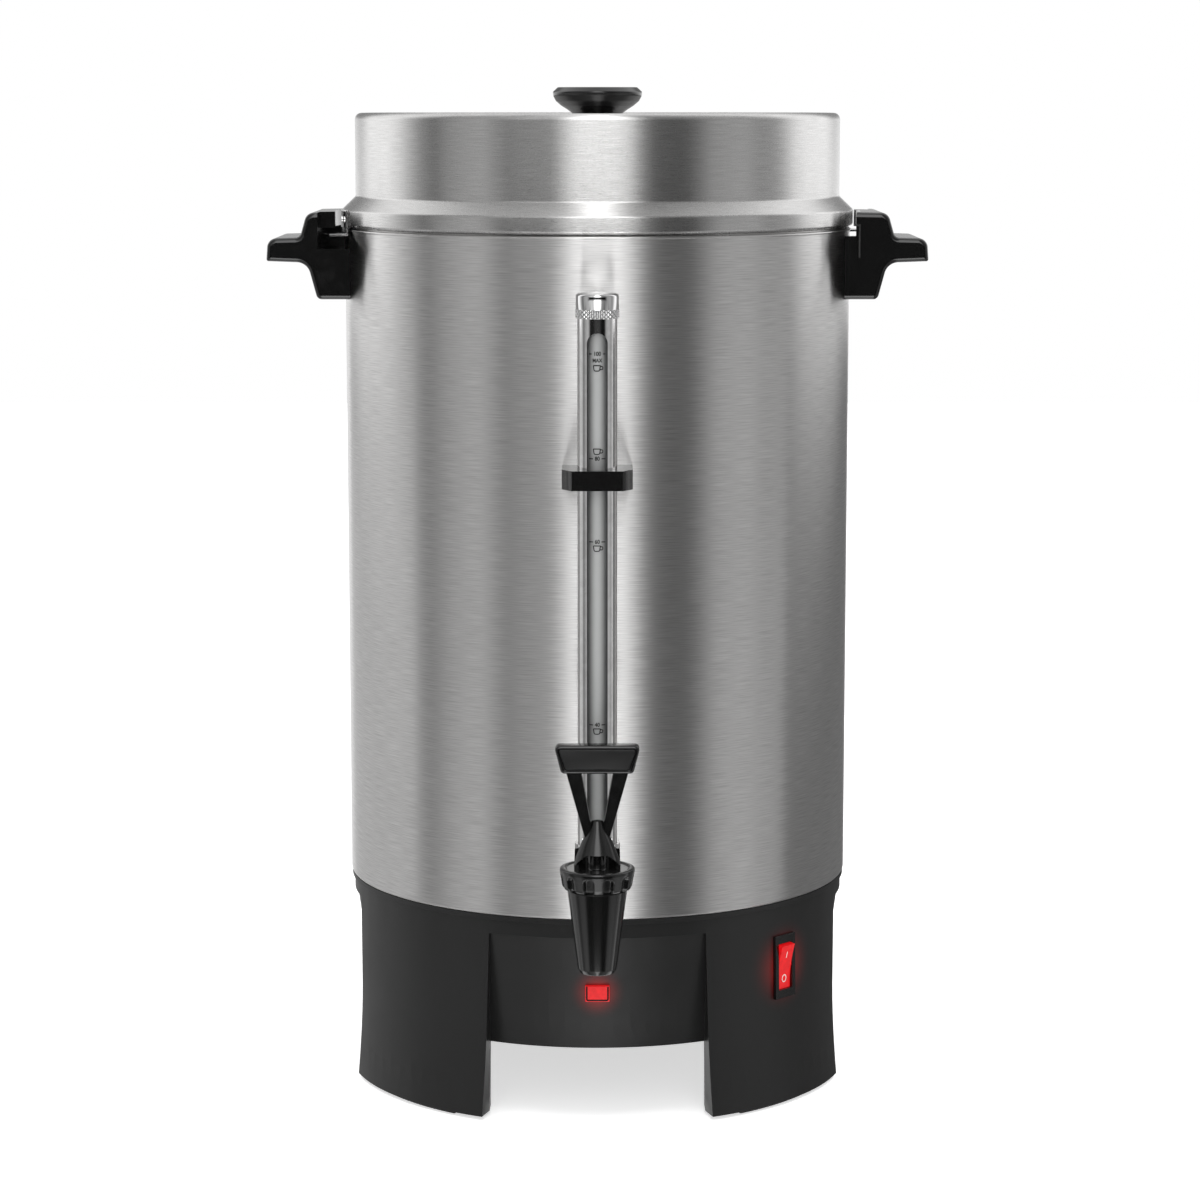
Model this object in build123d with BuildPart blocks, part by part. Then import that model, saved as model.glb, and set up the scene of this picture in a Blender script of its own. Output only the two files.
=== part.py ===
from build123d import *
from math import asin, atan2, cos, degrees, radians, sin, sqrt
import os

# Coffee urn, millimetres, +Z up, -Y is the front (tap side).
# The origin is on the table plane, on the tank's axis.
front = -90.0
rear = 90.0

# ---- tank ----
tank_radius = 130.0
tank_wall = 1.0
tank_floor = 1.2
tank_height = 334.3
bead_radius = 1.3

# ---- base housing ----
base_height = 106.0
base_top_inset = 0.4
base_waist_inset = 1.6
base_foot_flare = 0.4
base_lip_height = 2.4
base_wall = 3.0
panel_top_inset = 1.2
panel_foot_inset = 9.9
panel_drop = 9.8
arch_top_z = 38.2
front_gap = 108.0
side_gap = 74.0
front_bevel = 9.4
side_bevel = 3.0
leg_depth = 21.0
leg_front_angle = 5.0
leg_side_angle = 3.0
leg_cavity_rise = 30.0
leg_skin = 4.2
foot_height = 2.0
foot_margin = 3.0
ledge_width = 5.6

# ---- bottom cover ----
cover_gap = 3.4
cover_lap = 8.0
cover_thickness = 2.2
cover_screw_count = 4
cover_screw_angle = 45.0
cover_vent_ring = 51.0
cover_vent_length = 14.0
cover_vent_width = 3.0
cover_vent_count = 8
small_screw_radius = 1.6
small_screw_head = 3.2
small_screw_head_height = 1.8
small_screw_length = 7.0

# ---- handles ----
handle_half_depth = 34.0
handle_drop = 34.3
handle_height = 44.4
handle_stem_width = 17.5
handle_grip_overhang = 20.8
handle_grip_thickness = 12.0
handle_grip_drop = 13.0
handle_crown_fall = 0.5
handle_stem_flare = 3.6
handle_nose_rake = 0.8
handle_root_fall = 0.8
handle_foot_rake = 5.0
handle_rounding = (5.0, 3.2, 5.0, 1.2, 7.0, 3.0)
handle_edge = 2.6
pocket_end_gap = 0.95
roof_gap = 2.6
pocket_drop = 6.9
pocket_height = 10.5
pocket_rear = 28.0
notch_depth = 14.0
handle_screw_spacing = 28.0
handle_screw_height = 14.0
handle_screw_radius = 2.0
handle_screw_length = 12.0
handle_screw_tip_gap = 1.0
handle_screw_head_radius = 3.8
handle_screw_head_height = 2.2
backing_width = 44.0
backing_height = 14.0
backing_thickness = 1.2

# ---- lid ----
lid_wall = 1.0
lid_inset = 5.5
lid_height = 57.8
lid_crease_height = 15.3
lid_shoulder_height = 8.6
lid_recess = 10.0
lid_rim_width = 6.0
lid_rim_slope = 2.0
lid_rounding = (2.5, 2.4, 2.8, 2.0, 1.2, 1.0)
lid_band_overhang = 0.2
lid_seam_gap = 0.6
lid_curl = 1.6
ring_clearance = 1.1
ring_wall = 1.0
ring_depth = 9.0
ring_flange = 1.2
ring_setback = 1.5
tab_thickness = 1.0
tab_start_angle = 9.5
tab_arc = 7.0
tab_reach = 9.4
tab_rise = 9.3
tab_drop = 3.8
rivet_radius = 1.5
rivet_head = 0.35
rivet_rise = 8.2
rivet_angle_step = 3.1
knob_radius = 23.0
knob_neck_radius = 17.0
knob_foot_radius = 14.0
knob_top_radius = 20.4
knob_height = 23.0
knob_edge_height = 1.2
knob_bevel = 2.4
knob_screw_radius = 2.5
knob_screw_length = 12.0
knob_screw_head = 5.2
knob_screw_head_height = 2.4
clip_strip = 0.8
clip_strip_width = 5.0
clip_strip_gap = 1.1
clip_strip_drop = 4.0
clip_strip_hook = 2.4

# ---- tap ----
tap_clearance = 1.5
shank_height = 16.0
shank_radius = 8.0
shank_bore = 5.0
shank_inside = 14.0
shank_shoulder_radius = 13.0
shank_shoulder = 3.0
shank_nut_size = 22.0
shank_nut_thickness = 6.0
washer_radius = 12.5
washer_thickness = 1.6
washer_trim = 1.0
spout_length = 30.4
spout_top_radius = 14.4
spout_tip_radius = 9.4
spout_bore = 5.5
spout_tip_chamfer = 2.2
chamber_radius = 9.4
seat_drop = 14.0
collar_radius = 18.0
collar_rise = 10.8
collar_height = 10.6
collar_rim = 3.2
collar_edge = 1.1
collar_flutes = 14
collar_flute_radius = 1.9
collar_flute_offset = 0.7
collar_flute_angle = 6.0
neck_radius = 13.2
hood_bottom_radius = 11.6
hood_top_radius = 9.0
hood_height = 12.4
hood_slot = 15.0
hood_arch = 9.8
hood_sole = 0.5
hood_floor = 8.4
pin_radius = 1.2
pin_above_floor = 4.7
lever_gap = 3.8
lever_foot_width = 14.2
lever_foot_half_depth = 4.4
lever_thickness = 7.0
lever_elbow = 4.0
lever_corner = 1.0
paddle_rise = 33.5
paddle_height = 10.6
paddle_crown = 2.3
paddle_width = 40.6
paddle_top_width = 38.0
paddle_bottom_width = 34.0
arm_width = 7.2
window_rise = 9.5
stem_radius = 2.4
stem_head_thickness = 3.2
stem_head_depth = 6.4
stem_flange_inset = 1.5
cup_radius = 8.6
cup_height = 8.0
cup_skirt = 1.6
cup_lip_inset = 2.0
cup_shoulder_inset = 1.2
spring_radius = 5.6
spring_wire = 0.5
spring_turns = 6

# ---- sight gauge ----
gauge_standoff = 5.0
gauge_socket_radius = 9.5
gauge_socket_height = 14.0
gauge_spigot_radius = 4.0
gauge_spigot_depth = 3.0
gauge_passage = 2.0
gauge_nut_radius = 11.0
gauge_nut_height = 5.0
gauge_nut_grooves = 24
gauge_groove_radius = 0.6
gauge_groove_offset = 0.3
guard_radius = 9.5
guard_wall = 0.8
guard_drop = 29.3
guard_slot = 9.9
guard_slot_drop = 14.0
glass_radius = 6.0
glass_wall = 1.4
glass_drop = 3.0
glass_lift = 6.0
seal_height = 3.0
cap_radius = 10.6
cap_skirt = 7.3
cap_crown = 5.3
cap_waist = 0.3
cap_bevel = 1.1
cap_dome = 0.35
cap_knurl_height = 4.2
cap_knurl_count = 36
cap_knurl_radius = 0.5
cap_knurl_offset = 0.15
clip_drop = 118.0
clip_height = 9.5
clip_front_width = 24.4
clip_wing_width = 34.0
clip_front = 13.5
clip_chamfer = 8.0
clip_web = 1.5
clip_screw_length = 4.5

# ---- switch and indicator ----
switch_angle = 47.2
switch_drop = 33.7
bezel_width = 15.4
bezel_height = 32.4
bezel_thickness = 1.8
bezel_proud = 1.0
switch_body_width = 12.6
switch_body_height = 26.0
switch_body_depth = 13.0
rocker_width = 9.6
rocker_height = 23.0
rocker_depth = 5.0
rocker_dish = 1.0
rocker_well = 8.0
rocker_pivot_depth = 2.0
rocker_rest_tilt = 9.0
trunnion_radius = 1.3
trunnion_reach = 0.6
terminal_blade = 6.3
terminal_thickness = 0.8
terminal_length = 8.0
terminal_pitch = 8.0
indicator_drop = 38.6
lens_width = 12.0
lens_height = 8.2
lens_proud = 0.9
lens_depth = 8.0
lamp_radius = 2.4
lamp_length = 9.0
lamp_socket = 4.0

# ---- heating ----
brew_heater_radius = 40.0
brew_heater_height = 9.0
brew_heater_edge = 2.0
ring_heater_radius = 74.0
ring_heater_tube = 3.6
ring_heater_gap_angle = 30.0
thermostat_radius = 8.0
thermostat_height = 10.0
thermostat_x = 56.0
fuse_radius = 2.0
fuse_length = 14.0
fuse_y = 52.0
wire_radius = 1.3
wire_rise = 14.0
wire_spread = 10.0
wire_bend = 6.0
fuse_wire_bend = 4.0
block_y = 62.0
block_length = 30.0
block_width = 14.0
block_height = 12.0
block_pole_pitch = 9.0
block_hole_radius = 2.2
block_hole_depth = 5.0
gland_drop = 42.0
gland_radius = 8.0
gland_flange_radius = 10.5
gland_flange = 2.5
gland_bore = 3.8
gland_length = 14.0

# ---- percolator ----
pump_base_radius = 34.0
pump_base_height = 16.0
pump_base_wall = 1.0
pump_skirt_height = 6.4
pump_collar_width = 2.0
pump_cone_drop = 0.5
pump_ports = 6
pump_port_radius = 4.0
pump_port_ring = 22.4
pump_tube_radius = 7.0
pump_tube_wall = 1.0
pump_tube_rise = 16.0
valve_disc_radius = 9.0
valve_disc_thickness = 1.2
valve_seat_height = 5.8
valve_seat_ring = 1.5
valve_seat_land = 3.0
valve_travel = 2.0
cage_margin = 2.0
cage_flange = 2.0
cage_post_radius = 0.7
cage_post_inset = 1.0
cage_posts = 3
basket_radius = 86.0
basket_rise = 5.7
basket_depth = 62.0
basket_wall = 0.8
basket_holes = 8
basket_hole_radius = 2.5
basket_hole_rings = (32.0, 62.0)
basket_stop_radius = 11.0
basket_stop_height = 3.0
spreader_height = 5.0
spreader_lap = 0.7

# ---- clearances ----
seat_gap = 0.1
fit_gap = 0.05
swing_gap = 0.4
pin_gap = 0.06
assembly_gap = 0.3
cut_margin = 2.0

# ---- worked out from the sizes above ----
tank_bottom = base_height
tank_inner = tank_radius - tank_wall
tank_floor_top = tank_bottom + tank_floor
tank_rim_z = tank_bottom + tank_height
bead_top = tank_rim_z + bead_radius

base_top_radius = tank_radius - base_top_inset
base_waist_radius = tank_radius - base_waist_inset
base_foot_radius = tank_radius + base_foot_flare
base_waist_z = base_height - base_lip_height
leg_inner_radius = base_foot_radius - leg_depth
panel_top_z = base_height - panel_drop
panel_top_radius = base_waist_radius - panel_top_inset
panel_bottom_radius = base_foot_radius - panel_foot_inset
cover_radius = leg_inner_radius - cover_gap
cover_opening_radius = cover_radius - cover_lap
cover_screw_ring = (cover_radius + cover_opening_radius) / 2

lid_radius = tank_radius - lid_inset
lid_band_radius = tank_radius + bead_radius + lid_band_overhang
lid_bottom = bead_top + lid_seam_gap
lid_top_z = lid_bottom + lid_height
lid_crease_z = lid_bottom + lid_crease_height
lid_shoulder_z = lid_bottom + lid_shoulder_height
lid_panel_z = lid_top_z - lid_recess
ring_radius = tank_inner - ring_clearance
tab_inner = lid_band_radius + assembly_gap / 2
tab_top_z = lid_bottom + tab_rise
tab_foot_z = lid_bottom - tab_drop

handle_bottom = tank_rim_z - handle_drop
handle_top = handle_bottom + handle_height
handle_stem_reach = tank_radius + handle_stem_width
handle_reach = handle_stem_reach + handle_grip_overhang
grip_top = handle_top - handle_grip_drop
grip_bottom = grip_top - handle_grip_thickness
pocket_radius = tab_inner + tab_reach + pocket_end_gap
pocket_bottom = tab_foot_z - pocket_drop
roof_radius = lid_band_radius + tab_thickness + rivet_head + roof_gap

gauge_y = -(tank_radius + gauge_standoff + gauge_nut_radius)
tap_y = gauge_y - gauge_socket_radius - tap_clearance - collar_radius
shank_z = base_height + shank_height
shank_top = shank_z + shank_radius
spout_tip_z = shank_z - spout_length
seat_z = shank_z - seat_drop
collar_bottom = shank_z + collar_rise
collar_top = collar_bottom + collar_height
hood_top = collar_top + hood_height
hood_floor_z = collar_top + hood_floor
pin_z = hood_floor_z + pin_above_floor
window_apex_z = pin_z + window_rise
paddle_bottom_z = pin_z + paddle_rise
paddle_shoulder_z = paddle_bottom_z + paddle_height
paddle_top_z = paddle_shoulder_z + paddle_crown

gauge_socket_top = shank_top + gauge_socket_height
guard_top = tank_rim_z - guard_drop
guard_slot_top = guard_top - guard_slot_drop
glass_top = guard_top - glass_drop
cap_bottom = guard_top - cap_skirt
cap_top = guard_top + cap_crown
clip_bottom = tank_rim_z - clip_drop

basket_top = tank_rim_z + basket_rise
basket_bottom = basket_top - basket_depth
pump_tube_top = basket_top + pump_tube_rise
valve_seat_z = tank_floor_top + valve_seat_height

os.makedirs("parts", exist_ok=True)


def radial_plane(angle, distance=0.0, height=0.0):
    """Upright plane through the axis: local x points outward at angle, local y points up."""
    a = radians(angle)
    origin = (distance * cos(a), distance * sin(a), height)
    return Plane(origin=origin, x_dir=(cos(a), sin(a), 0), z_dir=(sin(a), -cos(a), 0))


def facing_plane(angle, distance, height, lean=0.0):
    """Plane that faces outward at angle, leaning down by lean: local x runs along the wall."""
    a = radians(angle)
    t = radians(lean)
    origin = (distance * cos(a), distance * sin(a), height)
    normal = (cos(a) * cos(t), sin(a) * cos(t), -sin(t))
    return Plane(origin=origin, x_dir=(-sin(a), cos(a), 0), z_dir=normal)


def save(builder, name):
    """Label a finished piece and write its file."""
    builder.part.label = name
    export_step(builder.part, f"parts/{name}.step")


tap_axis = Axis((0, tap_y, 0), (0, 0, 1))
gauge_axis = Axis((0, gauge_y, 0), (0, 0, 1))

# ======================= tank =======================
handle_screw_z = handle_bottom + handle_screw_height
clip_screw_z = clip_bottom + clip_height / 2

with BuildPart() as tank_shell:
    with BuildSketch(Plane.XZ):
        with Locations((tank_radius / 2, tank_bottom + tank_floor / 2)):
            Rectangle(tank_radius, tank_floor)
        with Locations((tank_radius - tank_wall / 2, tank_bottom + tank_height / 2)):
            Rectangle(tank_wall, tank_height)
        with Locations((tank_radius, tank_rim_z)):
            Circle(bead_radius)
    revolve(axis=Axis.Z)
    with BuildSketch(Plane.XZ.offset(tank_inner - cut_margin / 2)):
        with Locations((0, shank_z)):
            Circle(shank_radius + fit_gap)
        with Locations((0, clip_screw_z)):
            Circle(small_screw_radius + fit_gap)
    extrude(amount=tank_wall + cut_margin, mode=Mode.SUBTRACT)
    with BuildSketch(Plane.YZ.offset(-tank_radius - tank_wall)):
        with Locations((0, handle_screw_z)):
            with GridLocations(handle_screw_spacing, 0, 2, 1):
                Circle(handle_screw_radius + fit_gap)
    extrude(amount=2 * (tank_radius + tank_wall), mode=Mode.SUBTRACT)
save(tank_shell, "tank_shell")

# ======================= base housing =======================
gap_reach = base_foot_radius + base_wall


def gap_cutter(angle, gap, bevel):
    """Space between two legs: bevelled sides that close towards the middle, up to the panel."""
    with BuildPart() as cutter:
        with BuildSketch(facing_plane(angle, gap_reach, 0)):
            with BuildLine():
                Polyline(
                    (-gap / 2 - bevel, -cut_margin),
                    (gap / 2 + bevel, -cut_margin),
                    (gap / 2 + fit_gap, panel_top_z),
                    (-gap / 2 - fit_gap, panel_top_z),
                    close=True,
                )
            make_face()
        with BuildSketch(facing_plane(angle, leg_inner_radius - base_wall, 0)):
            with BuildLine():
                Polyline(
                    (-gap / 2, -cut_margin),
                    (gap / 2, -cut_margin),
                    (gap / 2 - fit_gap, panel_top_z),
                    (-gap / 2 + fit_gap, panel_top_z),
                    close=True,
                )
            make_face()
        loft(ruled=True)
        # the panel stands behind the gap, above the arch
        with BuildSketch(Plane.XZ):
            with BuildLine():
                Polyline(
                    (0, arch_top_z),
                    (panel_bottom_radius, arch_top_z),
                    (panel_top_radius, panel_top_z),
                    (panel_top_radius, panel_top_z + cut_margin),
                    (0, panel_top_z + cut_margin),
                    close=True,
                )
            make_face()
        revolve(axis=Axis.Z, mode=Mode.SUBTRACT)
    return cutter.part


front_cutter = gap_cutter(front, front_gap, front_bevel)
rear_cutter = gap_cutter(rear, front_gap, front_bevel)
left_cutter = gap_cutter(180, side_gap, side_bevel)
right_cutter = gap_cutter(0, side_gap, side_bevel)

cavity_bottom = arch_top_z + base_wall
cavity_top = base_height - base_wall
cavity_bottom_radius = panel_bottom_radius - base_wall
cavity_top_radius = panel_top_radius - base_wall
leg_cavity_outer = base_foot_radius - leg_skin
leg_cavity_inner = leg_inner_radius + base_wall
leg_cavity_bottom = foot_height + base_wall
leg_cavity_top = arch_top_z + leg_cavity_rise
leg_start = degrees(asin(front_gap / 2 / leg_inner_radius)) + leg_front_angle
leg_end = rear - degrees(asin(side_gap / 2 / leg_inner_radius)) - leg_side_angle
leg_arc = leg_end - leg_start
leg_angles = (front + leg_start, front - leg_end, rear + leg_start, rear - leg_end)


def wall_slope(low_radius, low_z, high_radius, high_z):
    """How much a tapered wall's radius grows per millimetre of height."""
    return (high_radius - low_radius) / (high_z - low_z)


skirt_slope = wall_slope(base_foot_radius, foot_height, base_waist_radius, base_waist_z)
skirt_lean = degrees(atan2(skirt_slope, 1))
switch_z = base_height - switch_drop
switch_wall = base_foot_radius + skirt_slope * (switch_z - foot_height)
switch_plane = facing_plane(front + switch_angle, switch_wall + bezel_proud, switch_z, skirt_lean)
panel_slope = wall_slope(panel_bottom_radius, arch_top_z, panel_top_radius, panel_top_z)
panel_lean = degrees(atan2(panel_slope, 1))
indicator_z = base_height - indicator_drop
indicator_wall = panel_bottom_radius + panel_slope * (indicator_z - arch_top_z)
indicator_plane = facing_plane(front, indicator_wall, indicator_z, panel_lean)
gland_z = base_height - gland_drop
gland_wall = panel_bottom_radius + panel_slope * (gland_z - arch_top_z)
gland_plane = facing_plane(rear, gland_wall, gland_z, panel_lean)

with BuildPart() as base_housing:
    with BuildSketch(Plane.XZ):
        with BuildLine():
            Polyline(
                (0, foot_height),
                (base_foot_radius, foot_height),
                (base_waist_radius, base_waist_z),
                (base_top_radius, base_waist_z),
                (base_top_radius, base_height),
                (0, base_height),
                close=True,
            )
        make_face()
    revolve(axis=Axis.Z)
    # room under the floor, inside the ring of legs
    with BuildSketch(Plane.XY):
        Circle(leg_inner_radius)
    extrude(amount=arch_top_z, mode=Mode.SUBTRACT)
    # arches right through between the legs
    with BuildSketch(Plane.XY):
        Rectangle(front_gap, 2 * gap_reach)
        Rectangle(2 * gap_reach, side_gap)
    extrude(amount=arch_top_z, mode=Mode.SUBTRACT)
    add(front_cutter, mode=Mode.SUBTRACT)
    add(rear_cutter, mode=Mode.SUBTRACT)
    add(left_cutter, mode=Mode.SUBTRACT)
    add(right_cutter, mode=Mode.SUBTRACT)
    # inside of the housing and the opening for the tank's floor
    with BuildSketch(Plane.XZ):
        with BuildLine():
            Polyline(
                (0, cavity_bottom),
                (cavity_bottom_radius, cavity_bottom),
                (cavity_top_radius, cavity_top),
                (base_top_radius - ledge_width, base_height),
                (0, base_height),
                close=True,
            )
        make_face()
    revolve(axis=Axis.Z, mode=Mode.SUBTRACT)
    with BuildSketch(Plane.XY.offset(arch_top_z)):
        Circle(cover_opening_radius)
    extrude(amount=base_wall, mode=Mode.SUBTRACT)
    # hollow legs
    leg_hollow = (
        (leg_cavity_inner + leg_cavity_outer) / 2,
        (leg_cavity_bottom + leg_cavity_top) / 2,
    )
    for angle in leg_angles:
        with BuildSketch(radial_plane(angle)):
            with Locations(leg_hollow):
                Rectangle(leg_cavity_outer - leg_cavity_inner, leg_cavity_top - leg_cavity_bottom)
        revolve(axis=Axis.Z, revolution_arc=leg_arc, mode=Mode.SUBTRACT)
    # screw holes for the bottom cover
    with BuildSketch(Plane.XY.offset(arch_top_z)):
        with PolarLocations(cover_screw_ring, cover_screw_count, start_angle=cover_screw_angle):
            Circle(small_screw_radius + fit_gap)
    extrude(amount=base_wall, mode=Mode.SUBTRACT)
    # switch, indicator and cord openings
    with BuildSketch(switch_plane):
        Rectangle(bezel_width + 2 * fit_gap, bezel_height + 2 * fit_gap)
    extrude(amount=-bezel_thickness, mode=Mode.SUBTRACT)
    with BuildSketch(switch_plane):
        Rectangle(switch_body_width + 2 * fit_gap, switch_body_height + 2 * fit_gap)
    extrude(amount=-2 * switch_body_depth, mode=Mode.SUBTRACT)
    with BuildSketch(indicator_plane.offset(base_wall)):
        Rectangle(lens_width + 2 * fit_gap, lens_height + 2 * fit_gap)
    extrude(amount=-3 * base_wall, mode=Mode.SUBTRACT)
    with BuildSketch(gland_plane.offset(base_wall)):
        Circle(gland_radius + fit_gap)
    extrude(amount=-3 * base_wall, mode=Mode.SUBTRACT)
save(base_housing, "base_housing")

cover_top = arch_top_z
with BuildPart() as base_bottom_cover:
    with BuildSketch(Plane.XY.offset(cover_top - cover_thickness)):
        Circle(cover_radius)
        with PolarLocations(cover_screw_ring, cover_screw_count, start_angle=cover_screw_angle):
            Circle(small_screw_radius + fit_gap, mode=Mode.SUBTRACT)
        with PolarLocations(cover_vent_ring, cover_vent_count):
            SlotOverall(cover_vent_length, cover_vent_width, rotation=rear, mode=Mode.SUBTRACT)
    extrude(amount=cover_thickness)
save(base_bottom_cover, "base_bottom_cover")

screw_under = cover_top - cover_thickness
with BuildPart() as base_screws:
    with BuildSketch(Plane.XY.offset(screw_under - small_screw_head_height)):
        with PolarLocations(cover_screw_ring, cover_screw_count, start_angle=cover_screw_angle):
            Circle(small_screw_head)
    extrude(amount=small_screw_head_height)
    with BuildSketch(Plane.XY.offset(screw_under)):
        with PolarLocations(cover_screw_ring, cover_screw_count, start_angle=cover_screw_angle):
            Circle(small_screw_radius)
    extrude(amount=small_screw_length)
save(base_screws, "base_screws")

with BuildPart() as foot_pads:
    for angle in leg_angles:
        with BuildSketch(radial_plane(angle)):
            with Locations(((leg_inner_radius + base_foot_radius) / 2, foot_height / 2)):
                Rectangle(leg_depth - 2 * foot_margin, foot_height)
        revolve(axis=Axis.Z, revolution_arc=leg_arc)
save(foot_pads, "foot_pads")

# ======================= handles =======================
handle_root = tank_radius - handle_stem_width / 2
backing_inner = tank_inner - fit_gap - backing_thickness
head_far_edge = handle_screw_spacing / 2 + handle_screw_head_radius
screw_seat = sqrt(backing_inner**2 - head_far_edge**2) - fit_gap


def make_handle(name, turn):
    """Side handle with a catch pocket for the lid's tab; turn 0 is the right one."""
    with BuildPart() as handle:
        with BuildSketch(Plane.XZ.offset(-handle_half_depth)):
            with BuildLine():
                outline = FilletPolyline(
                    (handle_root, handle_top),
                    (handle_stem_reach, handle_top - handle_crown_fall),
                    (handle_stem_reach + handle_stem_flare, grip_top),
                    (handle_reach - handle_nose_rake, grip_top - handle_crown_fall),
                    (handle_reach, grip_bottom),
                    (handle_stem_reach, grip_bottom - handle_root_fall),
                    (handle_stem_reach - handle_foot_rake, handle_bottom),
                    (handle_root, handle_bottom),
                    radius=handle_rounding,
                )
                Line(outline @ 1, outline @ 0)
            make_face()
        extrude(amount=2 * handle_half_depth)
        rim = handle.faces().sort_by(Axis.Y)[-1].edges()
        fillet(rim.filter_by(lambda e: e.center().X > tank_radius), radius=handle_edge)
        rim = handle.faces().sort_by(Axis.Y)[0].edges()
        fillet(rim.filter_by(lambda e: e.center().X > tank_radius), radius=handle_edge)
        # seat on the tank, and room for the lid's band above the rim
        with BuildSketch(Plane.XY.offset(handle_bottom)):
            Circle(tank_radius + fit_gap)
        extrude(amount=handle_height, mode=Mode.SUBTRACT)
        with BuildSketch(Plane.XY.offset(tab_foot_z - assembly_gap)):
            Circle(roof_radius)
        extrude(amount=handle_height, mode=Mode.SUBTRACT)
        # pocket that the tab turns into, and the notch that it drops through
        with BuildSketch(Plane.XY.offset(pocket_bottom)):
            with Locations((pocket_radius / 2, (handle_half_depth - pocket_rear) / 2)):
                Rectangle(pocket_radius, handle_half_depth + pocket_rear)
        extrude(amount=pocket_height, mode=Mode.SUBTRACT)
        with BuildSketch(Plane.XY.offset(pocket_bottom)):
            with Locations((pocket_radius / 2, handle_half_depth - notch_depth / 2)):
                Rectangle(pocket_radius, notch_depth)
        extrude(amount=handle_height, mode=Mode.SUBTRACT)
        # blind holes for the two screws
        with BuildSketch(Plane.YZ.offset(screw_seat)):
            with Locations((0, handle_screw_z)):
                with GridLocations(handle_screw_spacing, 0, 2, 1):
                    Circle(handle_screw_radius + fit_gap)
        extrude(amount=handle_screw_length, mode=Mode.SUBTRACT)
    placed = handle.part.rotate(Axis.Z, turn)
    placed.label = name
    export_step(placed, f"parts/{name}.step")


make_handle("handle_right", 0)
make_handle("handle_left", 180)

backing_angle = degrees(asin(backing_width / 2 / tank_inner))
with BuildPart() as handle_backing_plates:
    for side in (0, 180):
        with BuildSketch(radial_plane(side - backing_angle)):
            with Locations((backing_inner + backing_thickness / 2, handle_screw_z)):
                Rectangle(backing_thickness, backing_height)
        revolve(axis=Axis.Z, revolution_arc=2 * backing_angle)
    with BuildSketch(Plane.YZ.offset(-tank_radius)):
        with Locations((0, handle_screw_z)):
            with GridLocations(handle_screw_spacing, 0, 2, 1):
                Circle(handle_screw_radius + fit_gap)
    extrude(amount=2 * tank_radius, mode=Mode.SUBTRACT)
save(handle_backing_plates, "handle_backing_plates")

with BuildPart() as handle_screws:
    with BuildSketch(Plane.YZ.offset(screw_seat)):
        with Locations((0, handle_screw_z)):
            with GridLocations(handle_screw_spacing, 0, 2, 1):
                Circle(handle_screw_radius)
    extrude(amount=handle_screw_length - handle_screw_tip_gap)
    with BuildSketch(Plane.YZ.offset(screw_seat)):
        with Locations((0, handle_screw_z)):
            with GridLocations(handle_screw_spacing, 0, 2, 1):
                Circle(handle_screw_head_radius)
    extrude(amount=-handle_screw_head_height)
    mirror(about=Plane.YZ)
save(handle_screws, "handle_screws")

clip_x = lid_band_radius + clip_strip_gap
clip_foot = pocket_bottom - clip_strip_drop
clip_bend = lid_bottom + lid_curl
with BuildPart() as lid_catch_clip:
    with BuildSketch(Plane.XZ.offset(handle_half_depth + fit_gap)):
        with BuildLine():
            Polyline(
                (clip_x, clip_foot),
                (clip_x, clip_bend),
                (clip_x - clip_strip_hook, clip_bend),
                (clip_x - clip_strip_hook, tab_top_z),
            )
        trace(line_width=clip_strip)
    extrude(amount=clip_strip_width)
save(lid_catch_clip, "lid_catch_clip")

# ======================= lid =======================
lid_line = lid_radius - lid_wall / 2
band_line = lid_band_radius - lid_wall / 2
knob_hole_radius = knob_screw_radius + fit_gap
with BuildPart() as lid_shell:
    with BuildSketch(Plane.XZ):
        with BuildLine():
            FilletPolyline(
                (knob_hole_radius, lid_panel_z - lid_wall / 2),
                (lid_line - lid_rim_width - lid_rim_slope, lid_panel_z - lid_wall / 2),
                (lid_line - lid_rim_width, lid_top_z - lid_wall / 2),
                (lid_line, lid_top_z - lid_wall / 2),
                (lid_line, lid_crease_z),
                (band_line, lid_shoulder_z),
                (band_line, lid_bottom + lid_curl),
                (band_line - lid_curl, lid_bottom + lid_wall / 2),
                radius=lid_rounding,
            )
        trace(line_width=lid_wall)
    revolve(axis=Axis.Z)
save(lid_shell, "lid_shell")

ring_top = lid_shoulder_z - ring_setback
ring_bottom = tank_rim_z - ring_depth
ring_inner = ring_radius - ring_wall
flange_outer = lid_band_radius - lid_wall - assembly_gap
with BuildPart() as lid_locating_ring:
    with BuildSketch(Plane.XZ):
        with Locations((ring_radius - ring_wall / 2, (ring_top + ring_bottom) / 2)):
            Rectangle(ring_wall, ring_top - ring_bottom)
        with Locations(((ring_inner + flange_outer) / 2, ring_top - ring_flange / 2)):
            Rectangle(flange_outer - ring_inner, ring_flange)
    revolve(axis=Axis.Z)
save(lid_locating_ring, "lid_locating_ring")


def make_tab(name, side):
    """Bent strip on the lid's band whose foot turns into a handle's pocket."""
    with BuildPart() as tab:
        with BuildSketch(radial_plane(side + tab_start_angle)):
            with BuildLine():
                Polyline(
                    (tab_inner, tab_foot_z),
                    (tab_inner + tab_reach, tab_foot_z),
                    (tab_inner + tab_reach, tab_foot_z + tab_thickness),
                    (tab_inner + tab_thickness, tab_foot_z + tab_thickness),
                    (tab_inner + tab_thickness, tab_top_z),
                    (tab_inner, tab_top_z),
                    close=True,
                )
            make_face()
        revolve(axis=Axis.Z, revolution_arc=tab_arc)
    save(tab, name)


rivet_z = tab_foot_z + rivet_rise
rivet_start = tab_inner + tab_thickness
make_tab("lid_tab_left", 180)
make_tab("lid_tab_right", 0)

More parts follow.
